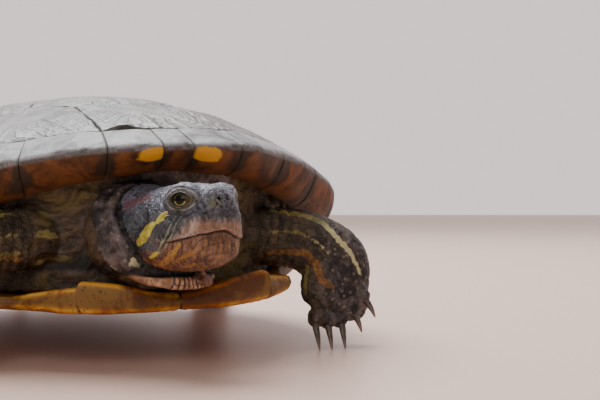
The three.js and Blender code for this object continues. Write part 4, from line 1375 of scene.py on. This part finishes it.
SIDE_YELLOW = [   # the loose skin between the right forelimb and the neck, and its mirror image
    ([(-31.1, -74.2, 33.4), (-28.7, -73.9, 33.3), (-26.5, -73.2, 32.8)], (0.8, 1.2, 0.7)),
    ([(-23.6, -75, 32), (-22, -80, 32)], (1.2, 0.8)),
    ([(-20.2, -77.7, 43.5), (-18.7, -80.1, 41.5), (-19.8, -89, 39.6)], (0.9, 0.9, 0.6)),
    ([(-31.2, -71.3, 25.6), (-27.2, -70.9, 26.5), (-23.8, -72.6, 26.8), (-20.7, -74.9, 26.1)],
     (0.7, 0.9, 0.9, 0.5)),
    ([(-18.4, -78, 25.6), (-19.6, -88, 25.3)], (1.0, 0.8)),
    ([(-19.3, -96.1, 25.6), (-18.8, -100.8, 24.9)], (1.0, 0.7)),
    ([(-15.8, -102.0, 27.5), (-14.4, -104.2, 26.6)], (0.9, 0.9)),
]


def stripe_field(points, stripes):
    """How far inside the nearest stripe each point lies, in millimetres; negative outside."""
    field = np.full(len(points), -9.0)
    for line, half in stripes:
        reach = np.array(line, float)
        near = np.flatnonzero(((points > reach.min(0) - 6) & (points < reach.max(0) + 6)).all(1))
        if len(near):
            gap, place = distance_along(points[near], line)
            inside = np.interp(place, np.linspace(0, 1, len(half)), half) - gap
            field[near] = np.maximum(field[near], inside)
    return field


def mirrored_x(stripes):
    return [([(-x, y, z) for x, y, z in line], half) for line, half in stripes]


def right_arm(stripes):
    return [([(-x, y - 6, z) for x, y, z in line], half) for line, half in stripes]


def body_stripes():
    """The lines on the limbs, tail and sides: the yellow ones and the orange ones."""
    yellow = ARM_YELLOW + right_arm(ARM_YELLOW) + SIDE_YELLOW + mirrored_x(SIDE_YELLOW)
    orange = ARM_ORANGE + right_arm(ARM_ORANGE)
    yellow += [(limb_line(TAIL_STATIONS, TAIL_SIDE, turn, 0.1, 0.97), (0.8, 0.6, 0.3))
               for turn in (0.5, 2.64, -0.7, -2.44)]
    for side in (1, -1):
        leg, arm = (leg_stations(side), LEG_SIDE), (arm_stations(side), ARM_SIDE)
        yellow += [(limb_line(*leg, turn * side, 0.1, 0.9), (0.9, 1.0, 0.7, 0.5))
                   for turn in (0.3, 1.1, 2.2, -0.9)]
        yellow += [(limb_line(*arm, turn, 0.15, 0.85), (0.8, 0.9, 0.5)) for turn in (1.2 * side, 2.5, -2.9)]
        orange.append((limb_line(*leg, -1.6 * side, 0.2, 0.85), (0.6, 1.0, 0.6)))
    return yellow, orange


BEAK_HEIGHT = [0, 2, 4, 6, 8, 9.6], [1.9, 2.1, 2.8, 3.6, 3.0, 1.0]     # by how far out on the face
RED_BAND = [(-8.8, 25.0, 40.8), (-8.4, 22.5, 41.8), (-7.9, 19, 42.8)]  # behind the right eye
NOSE_SPOT = (-2.0, 0.9, 41.5)
COLLAR_MIDDLE = 33.4     # height of the line that the collar's creases run out from
COLLAR_RADIUS = 11.5
CHIN_GAP = (23.4, 24.1, 24.3)   # heights of the painted shadow in the gap between chin and collar: low, high, collar top


def mark_skin(skin):
    """Stores the animal's markings on its skin, with a painted sheen on the crown and painted shade in the
    crease, under the chin, in the mouth's slit and in the nostrils, before any fold is raised.
    """
    points = coordinates(skin)
    head = to_head(points)
    out, back, up = head.T
    behind = behind_crease(head)
    beside = np.abs(out) < BESIDE_HEAD
    on_head = smoothstep(-behind, -0.5, 0.5) * beside
    wobble = 0.16 * ripple(points, 1.9, 3.0) + 0.1 * ripple(points, 0.8, 5.0)

    def striped(on_body, on_face):
        return np.maximum(stripe_field(points, on_body) + wobble * 2,
                          stripe_field(head, on_face + mirrored_x(on_face)) + wobble)

    yellow_lines, orange_lines = body_stripes()
    gap, above = mouth_frame(head)
    ragged = 0.7 * ripple(head, 1.5, 8.0)
    beak_high = np.interp(np.abs(out), *BEAK_HEIGHT) * smoothstep(-back, -11, -4)
    beak = smoothstep(above, 0.0, 0.25) * smoothstep(beak_high - above + ragged, -1.3, 1.1)
    jaw = smoothstep(-above, 0.0, 0.3) * smoothstep(11.5 - back + ragged * 2, -1.5, 1.5)
    jaw *= smoothstep(up, 20, 23)
    right_side = head.copy()
    right_side[:, 0] = -np.abs(out)
    red_gap, _ = distance_along(right_side, RED_BAND)
    from_nose = np.linalg.norm((head - np.array(NOSE_SPOT)) * np.array([0.8, 1, 1]), axis=1)
    # The crown's mark is a painted sheen: pale streaks for the sky's reflection on the top of the head.
    face = {
        "beak": beak, "jaw": jaw, "throat": smoothstep(29.5 - up + ragged, -1.2, 1.2),
        "red": smoothstep(1.3 - red_gap + 0.5 * ripple(head, 1.7, 4.0), -1.3, 1.3),
        "crown_sheen": smoothstep(up, 36, 43.5), "nose": smoothstep(1.3 - from_nose + ragged, -0.9, 0.9),
        "mouth": smoothstep(0.32 - gap, 0.0, 0.25)}
    keep(skin, **{name: amount * on_head for name, amount in face.items()})

    turn = np.arctan2(up - COLLAR_MIDDLE, out)
    # Painted shadow: the crease round the head and the gap under the chin are marked to be painted near
    # black.
    low, high, top = CHIN_GAP
    below = smoothstep(-np.sin(turn), 0.4, 0.65) * (np.abs(out - 1) < 17)
    under_chin = below * smoothstep(-up, -top, -low)
    shaded = below * smoothstep(up, low, high) * smoothstep(behind, -0.3, 0.3)
    share = inside_shell(points)
    root = (smoothstep(share, 0.835, 0.855) * smoothstep(-share, -0.9, -0.885)
            * smoothstep(3.5 - below_roof(points) + 1.2 * ripple(points, 6, 2.0), 0, 1.5))
    nostril = np.min([np.linalg.norm((head - np.array(n)) * np.array([1.3, 1, 1]), axis=1)
                      for n in NOSTRILS], axis=0)
    (left_lift, left_lids), (right_lift, right_lids) = (eye_frame(head, side) for side in (1, -1))
    keep(skin, yellow=striped(yellow_lines, HEAD_YELLOW), orange=striped(orange_lines, HEAD_ORANGE),
         pale=stripe_field(head, HEAD_PALE + mirrored_x(HEAD_PALE)) + wobble * 0.3,
         collar=smoothstep(behind, -0.2, 0.6) * smoothstep(-behind, -11.5, -8),
         low_collar=under_chin * smoothstep(behind, -0.35, 0.1) * smoothstep(-behind, -6.5, -4.5),
         crease=np.maximum(shaded, bump(behind, 0.2, 0.55) * beside * (1 - 0.9 * under_chin)),
         round=turn * COLLAR_RADIUS, flow=back + 0.71 * up, root=root, face=on_head,
         nostril=smoothstep(0.48 - nostril, -0.1, 0.12), lids=np.minimum(left_lids, right_lids),
         lift=np.where(left_lids < right_lids, left_lift, right_lift))


def sculpted_face(head, behind, beside, on_head):
    """How far the crease, mouth, nostrils, beak, eardrum and fine folds raise the head's skin."""
    out, back, up = head.T
    rise = -0.7 * bump(behind, 0.2, 0.5) * beside * (back < 34)
    under_chin = smoothstep(behind, 0.0, 0.6) * smoothstep(-behind, -4.5, -3.5)
    rise -= 0.9 * bump(up, 24.6, 0.8) * under_chin * (np.abs(out - 1) < 13)
    gap, above = mouth_frame(head)
    mouth_on = smoothstep(-back, -9.6, -8.0)
    rise -= 0.5 * bump(gap, 0, 0.2) * mouth_on
    rise += 0.42 * bump(above, 0.55, 0.55) * mouth_on * (gap < 3)
    rise -= 0.22 * bump(above, -0.8, 0.8) * mouth_on * (gap < 3)
    rise += 0.45 * bump(above, -3.6, 1.6) * smoothstep(-back, -7, -3) * on_head
    for nostril in NOSTRILS:
        away = np.linalg.norm(head - np.array(nostril), axis=1)
        rise += 0.22 * bump(away, 0.8, 0.4) - 0.9 * bump(away, 0, 0.42)
    streaks = np.sin(out * 5.5 + 2 * ripple(head, 2.5, 1.0)) * smoothstep(above, 0.2, 1.2)
    rise += 0.03 * streaks * smoothstep(3.4 - above, 0, 1) * (back < 7) * on_head
    eardrum = np.linalg.norm(head[:, 1:] - np.array([17.0, 36.5]), axis=1)
    rise -= 0.35 * smoothstep(2.9 - eardrum, -0.5, 0.8) * on_head * (np.abs(out) > 8)
    plates = pebbles(head + 0.4 * np.column_stack([ripple(head, 5, k) for k in (1, 2, 3)]), 2.6, 4.0)
    temple = smoothstep(back, 8.5, 11) * smoothstep(up, 34, 38)
    rise += 0.14 * (plates - 0.6) * temple * on_head
    cheek_folds = np.sin((back + 0.55 * up) * 3.6 + 1.6 * ripple(head, 4, 6.0))
    rise += 0.05 * cheek_folds * on_head * smoothstep(back, 5, 8) * smoothstep(36 - up, 0, 2)
    return rise + 0.05 * ripple(head, 1.6, 2.0) * on_head


def sculpted_collar(head, collar):
    """How far creases and small scales raise the loose skin behind the head."""
    turn = np.arctan2(head[:, 2] - COLLAR_MIDDLE, head[:, 0]) * 13
    creases = np.abs(np.sin(turn * 1.35 + 1.2 * ripple(head, 5, 2.5)))
    rise = 0.22 * (creases ** 0.5 - 0.7) * collar * (0.6 + 0.4 * ripple(head, 7, 5.5))
    return rise + 0.16 * (pebbles(head, 1.5, 7.0) - 0.5) * collar


def sculpted_limbs(points, shown):
    """How far scales and elbow folds raise the limbs, where the limbs are, and the scales' tops."""
    rise, limbs, scale = np.zeros(len(points)), np.zeros(len(points)), np.ones(len(points))
    for side in (1, -1):
        for stations, aside, box in ((arm_stations(side), ARM_SIDE, points[:, 1] < -35),
                                     (leg_stations(side), LEG_SIDE, points[:, 1] > 20)):
            near = np.flatnonzero(box & (points[:, 0] * side > 14) & (shown > 0))
            along, turn, far = limb_places(points[near], stations, aside)
            on_limb = smoothstep(-far, -1.7, -1.35) * smoothstep(along, 6, 14)
            limbs[near] = np.maximum(limbs[near], on_limb)
            rows = scale_rows(along, turn, 8.0, 2.4, 3.0, side)
            scale[near] = np.minimum(scale[near], 1 - (1 - rows) * on_limb)
            elbow = np.sin(along * 2.2 + 1.5 * np.sin(turn * 2)) * smoothstep(-along, -26, -18)
            rise[near] += (0.20 * (rows - 0.6) + 0.28 * elbow) * on_limb
    return rise, limbs, scale


def sculpt_skin(skin):
    """Raises lids, nostrils, beak, folds and scales from the plain forms."""
    points = coordinates(skin)
    head = to_head(points)
    out = normals(skin)
    behind = behind_crease(head)
    beside = np.abs(head[:, 0]) < BESIDE_HEAD
    on_head = smoothstep(-behind, -0.2, 1.0) * beside
    collar = smoothstep(behind, -0.2, 0.8) * smoothstep(-behind, -13, -8) * (np.abs(head[:, 0]) < 21)
    shown = (1 - np.clip(on_head + collar, 0, 1)) * smoothstep(inside_shell(points), 0.5, 0.6)
    on_limbs, limbs, scale = sculpted_limbs(points, shown)
    keep(skin, limb=limbs, scale=scale)
    rise = sculpted_face(head, behind, beside, on_head) + sculpted_collar(head, collar) + on_limbs
    loose = shown * (1 - limbs) * smoothstep(points[:, 2], 10, 16)
    sag = points[:, 2] + 0.3 * np.abs(points[:, 0]) + 2.6 * ripple(points, 15, 1.5)
    rise += 0.6 * np.sin(sag * 1.1) * loose * (0.6 + 0.4 * ripple(points, 17, 6.1))
    rise += 0.3 * np.sin(sag * 3.2 + 2 * ripple(points, 7, 3.3)) * loose
    points = points + out * rise[:, None]

    for side in (1, -1):
        w, spread = eye_frame(head, side)
        fold = 0.05 * np.sin(w * 11) * smoothstep(w, 0.4, 1.2) * smoothstep(spread, 1.2, 1.5)
        move = LID_PROFILE(spread) + fold * smoothstep(2.9 - spread, 0, 0.6)
        move = np.where(spread < 3.0, move, 0)
        points = points + from_head_direction(sight_lines(side)[0]) * move[:, None]
    move_to(skin, points)
    points[:, 2] = np.where(points[:, 2] < SOLE, 0.0, points[:, 2])
    flat = to_shell(points)
    roof = dome_height(flat[:, 0], flat[:, 1]) - SCUTE_THICKNESS - ROOF_GAP
    covered = (inside_shell(points) < ROOF_SHARE) & (flat[:, 2] > roof)
    flat[:, 2] = np.where(covered, roof, flat[:, 2])
    move_to(skin, from_shell(flat))
    # The cavity depth, kept for the painted shade in hollows and folds.
    keep(skin, hollow=cavity(skin, 4) + 0.5 * cavity(skin, 14))


def make_skin():
    skin = joined(flesh_forms(), "skin")
    apply(skin, "REMESH", mode="VOXEL", voxel_size=SKIN_VOXEL * MM)
    largest_piece(skin)
    relax(skin, 5)
    points = coordinates(skin)
    share, under_roof = inside_shell(points), below_roof(points)
    covered = (share < 0.66) | ((share < 0.82) & ((under_roof < 5) | (np.abs(points[:, 1] + 4) < 36)))
    thin_out(skin, covered & (to_head(points)[:, 1] > 36), 0.3)
    head = to_head(coordinates(skin))
    subdivide_where(skin, (head[:, 1] < 29) & (np.abs(head[:, 0]) < 19) & (head[:, 2] < 60))
    relax(skin, 3, smoothstep(-to_head(coordinates(skin))[:, 1], -32, -28))
    for reach, mouth_reach in ((2.9, 1.0), (1.45, -1)):
        head = to_head(coordinates(skin))
        near_eye = np.minimum(eye_frame(head, 1)[1], eye_frame(head, -1)[1]) < reach
        from_nostril = np.min([np.linalg.norm(head - np.array(n), axis=1) for n in NOSTRILS], axis=0)
        near_mouth = (mouth_frame(head)[0] < mouth_reach) & (head[:, 1] < 11)
        subdivide_where(skin, near_eye | (from_nostril < mouth_reach + 0.3) | near_mouth)
    mark_skin(skin)
    sculpt_skin(skin)
    dress(skin, SKIN, 180)
    stand_for(skin, ["trunk", "neck", "head", "tail", "forelimb_left", "forelimb_right",
                     "hindlimb_left", "hindlimb_right"])
    return skin


# ------------------------------------------------------------------ eyes and claws

def make_eye(side, word):
    """A wet eyeball with a raised clear front over the iris."""
    sight, across, lift = sight_lines(side)
    kept = {}

    def place(t, turn):
        angle = t * math.pi
        bulge = 0.28 * np.exp(-(np.degrees(angle) / 22) ** 4)
        off = np.sin(angle)
        unit = (np.cos(angle)[:, None] * sight + (off * np.cos(turn))[:, None] * across
                + (off * np.sin(turn))[:, None] * lift)
        kept["off"] = EYE_RADIUS * off + (angle > math.pi / 2) * 9
        kept["level"] = off * np.sin(turn) * EYE_RADIUS
        kept["fore"] = side * off * np.cos(turn) * EYE_RADIUS
        return from_head(eye_centre(side) + unit * (EYE_RADIUS - 0.05 + bulge)[:, None])

    eye = ball(f"eyeball_{word}", 64, 64, place)
    keep(eye, **kept)
    dress(eye, EYE, 180)
    stand_for(eye, [f"eye_{word}"])


def make_claws():
    """Long tapering claws, each rooted in its toe and bent a little down towards the tip."""
    for root, knuckle, tip, thick, name in toes():
        start = root + (knuckle - root) * 0.55
        middle = (knuckle + tip) / 2 + np.array([0, 0, 0.5])
        stations = [(start, thick * 0.42, thick * 0.48), (knuckle, thick * 0.40, thick * 0.46),
                    (middle, thick * 0.29, thick * 0.33), (tip, thick * 0.12, thick * 0.12)]
        claw = tube(f"claw_{name}", stations, (1, 0.3, 0.1), 20, 24)
        points, reach = coordinates(claw), tip - knuckle
        keep(claw, length=(points - knuckle - np.array(MIDDLE)) @ reach / (reach @ reach))
        points[:, 2] = np.maximum(points[:, 2], 0)
        move_to(claw, points)
        dress(claw, CLAW, 60)
        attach(claw, "root")


# ------------------------------------------------------------------ camera, floor and light

def make_camera():
    data = bpy.data.cameras.new("camera")
    data.lens = LENS
    data.clip_start = 0.01
    camera = bpy.data.objects.new("camera", data)
    bpy.context.scene.collection.objects.link(camera)
    camera.location = Vector(CAMERA_SPOT) * MM
    camera.rotation_euler = (math.pi / 2, 0, -math.radians(CAMERA_TURN))
    bpy.context.scene.camera = camera


def make_stage(name, size, turn, paint):
    """A square of the stage, lying level before its turn."""
    deselect()
    bpy.ops.mesh.primitive_plane_add(size=size)
    square = bpy.context.object
    square.name = name
    square.data.transform(turn)
    square.data.materials.append(paint)


def make_floor():
    make_stage("floor", 8, Matrix.Identity(4),
               Finish("pale_floor").close(Base_Color=(0.72, 0.50, 0.41), Roughness=0.4))


def make_backdrop():
    """A pale glowing wall well behind the animal, square to the camera."""
    turn = Matrix.Rotation(-math.radians(CAMERA_TURN), 4, "Z") @ Matrix.Rotation(math.pi / 2, 4, "X")
    make_stage("backdrop", 7, Matrix.Translation((1.3, 2.7, 2.0)) @ turn,
               Finish("pale_wall").close(Base_Color=(0.5, 0.47, 0.47), Roughness=0.9,
                                         Emission_Color=(0.92, 0.84, 0.84), Emission_Strength=1.0))


def make_light(name, spot, aim, size, power, colour):
    data = bpy.data.lights.new(name, "AREA")
    data.size = size
    data.energy = power
    data.color = colour
    lamp = bpy.data.objects.new(name, data)
    bpy.context.scene.collection.objects.link(lamp)
    lamp.location = spot
    lamp.rotation_euler = (Vector(aim) - Vector(spot)).to_track_quat("-Z", "Y").to_euler()


def make_lights():
    world = bpy.data.worlds.new("studio")
    world.use_nodes = True
    world.node_tree.nodes["Background"].inputs[0].default_value = (0.90, 0.86, 0.86, 1)
    world.node_tree.nodes["Background"].inputs[1].default_value = 0.36
    bpy.context.scene.world = world
    make_light("sky", (-0.05, 0.45, 1.0), (0, 0, 0.04), 0.9, 27.0, (0.95, 0.97, 1.0))
    make_light("window", (-0.55, -0.9, 0.55), (0, -0.09, 0.035), 0.5, 3.6, (1.0, 0.97, 0.94))


make_camera()
make_floor()
make_backdrop()
make_lights()
make_shell()
make_skin()
make_eye(1, "left")
make_eye(-1, "right")
make_claws()
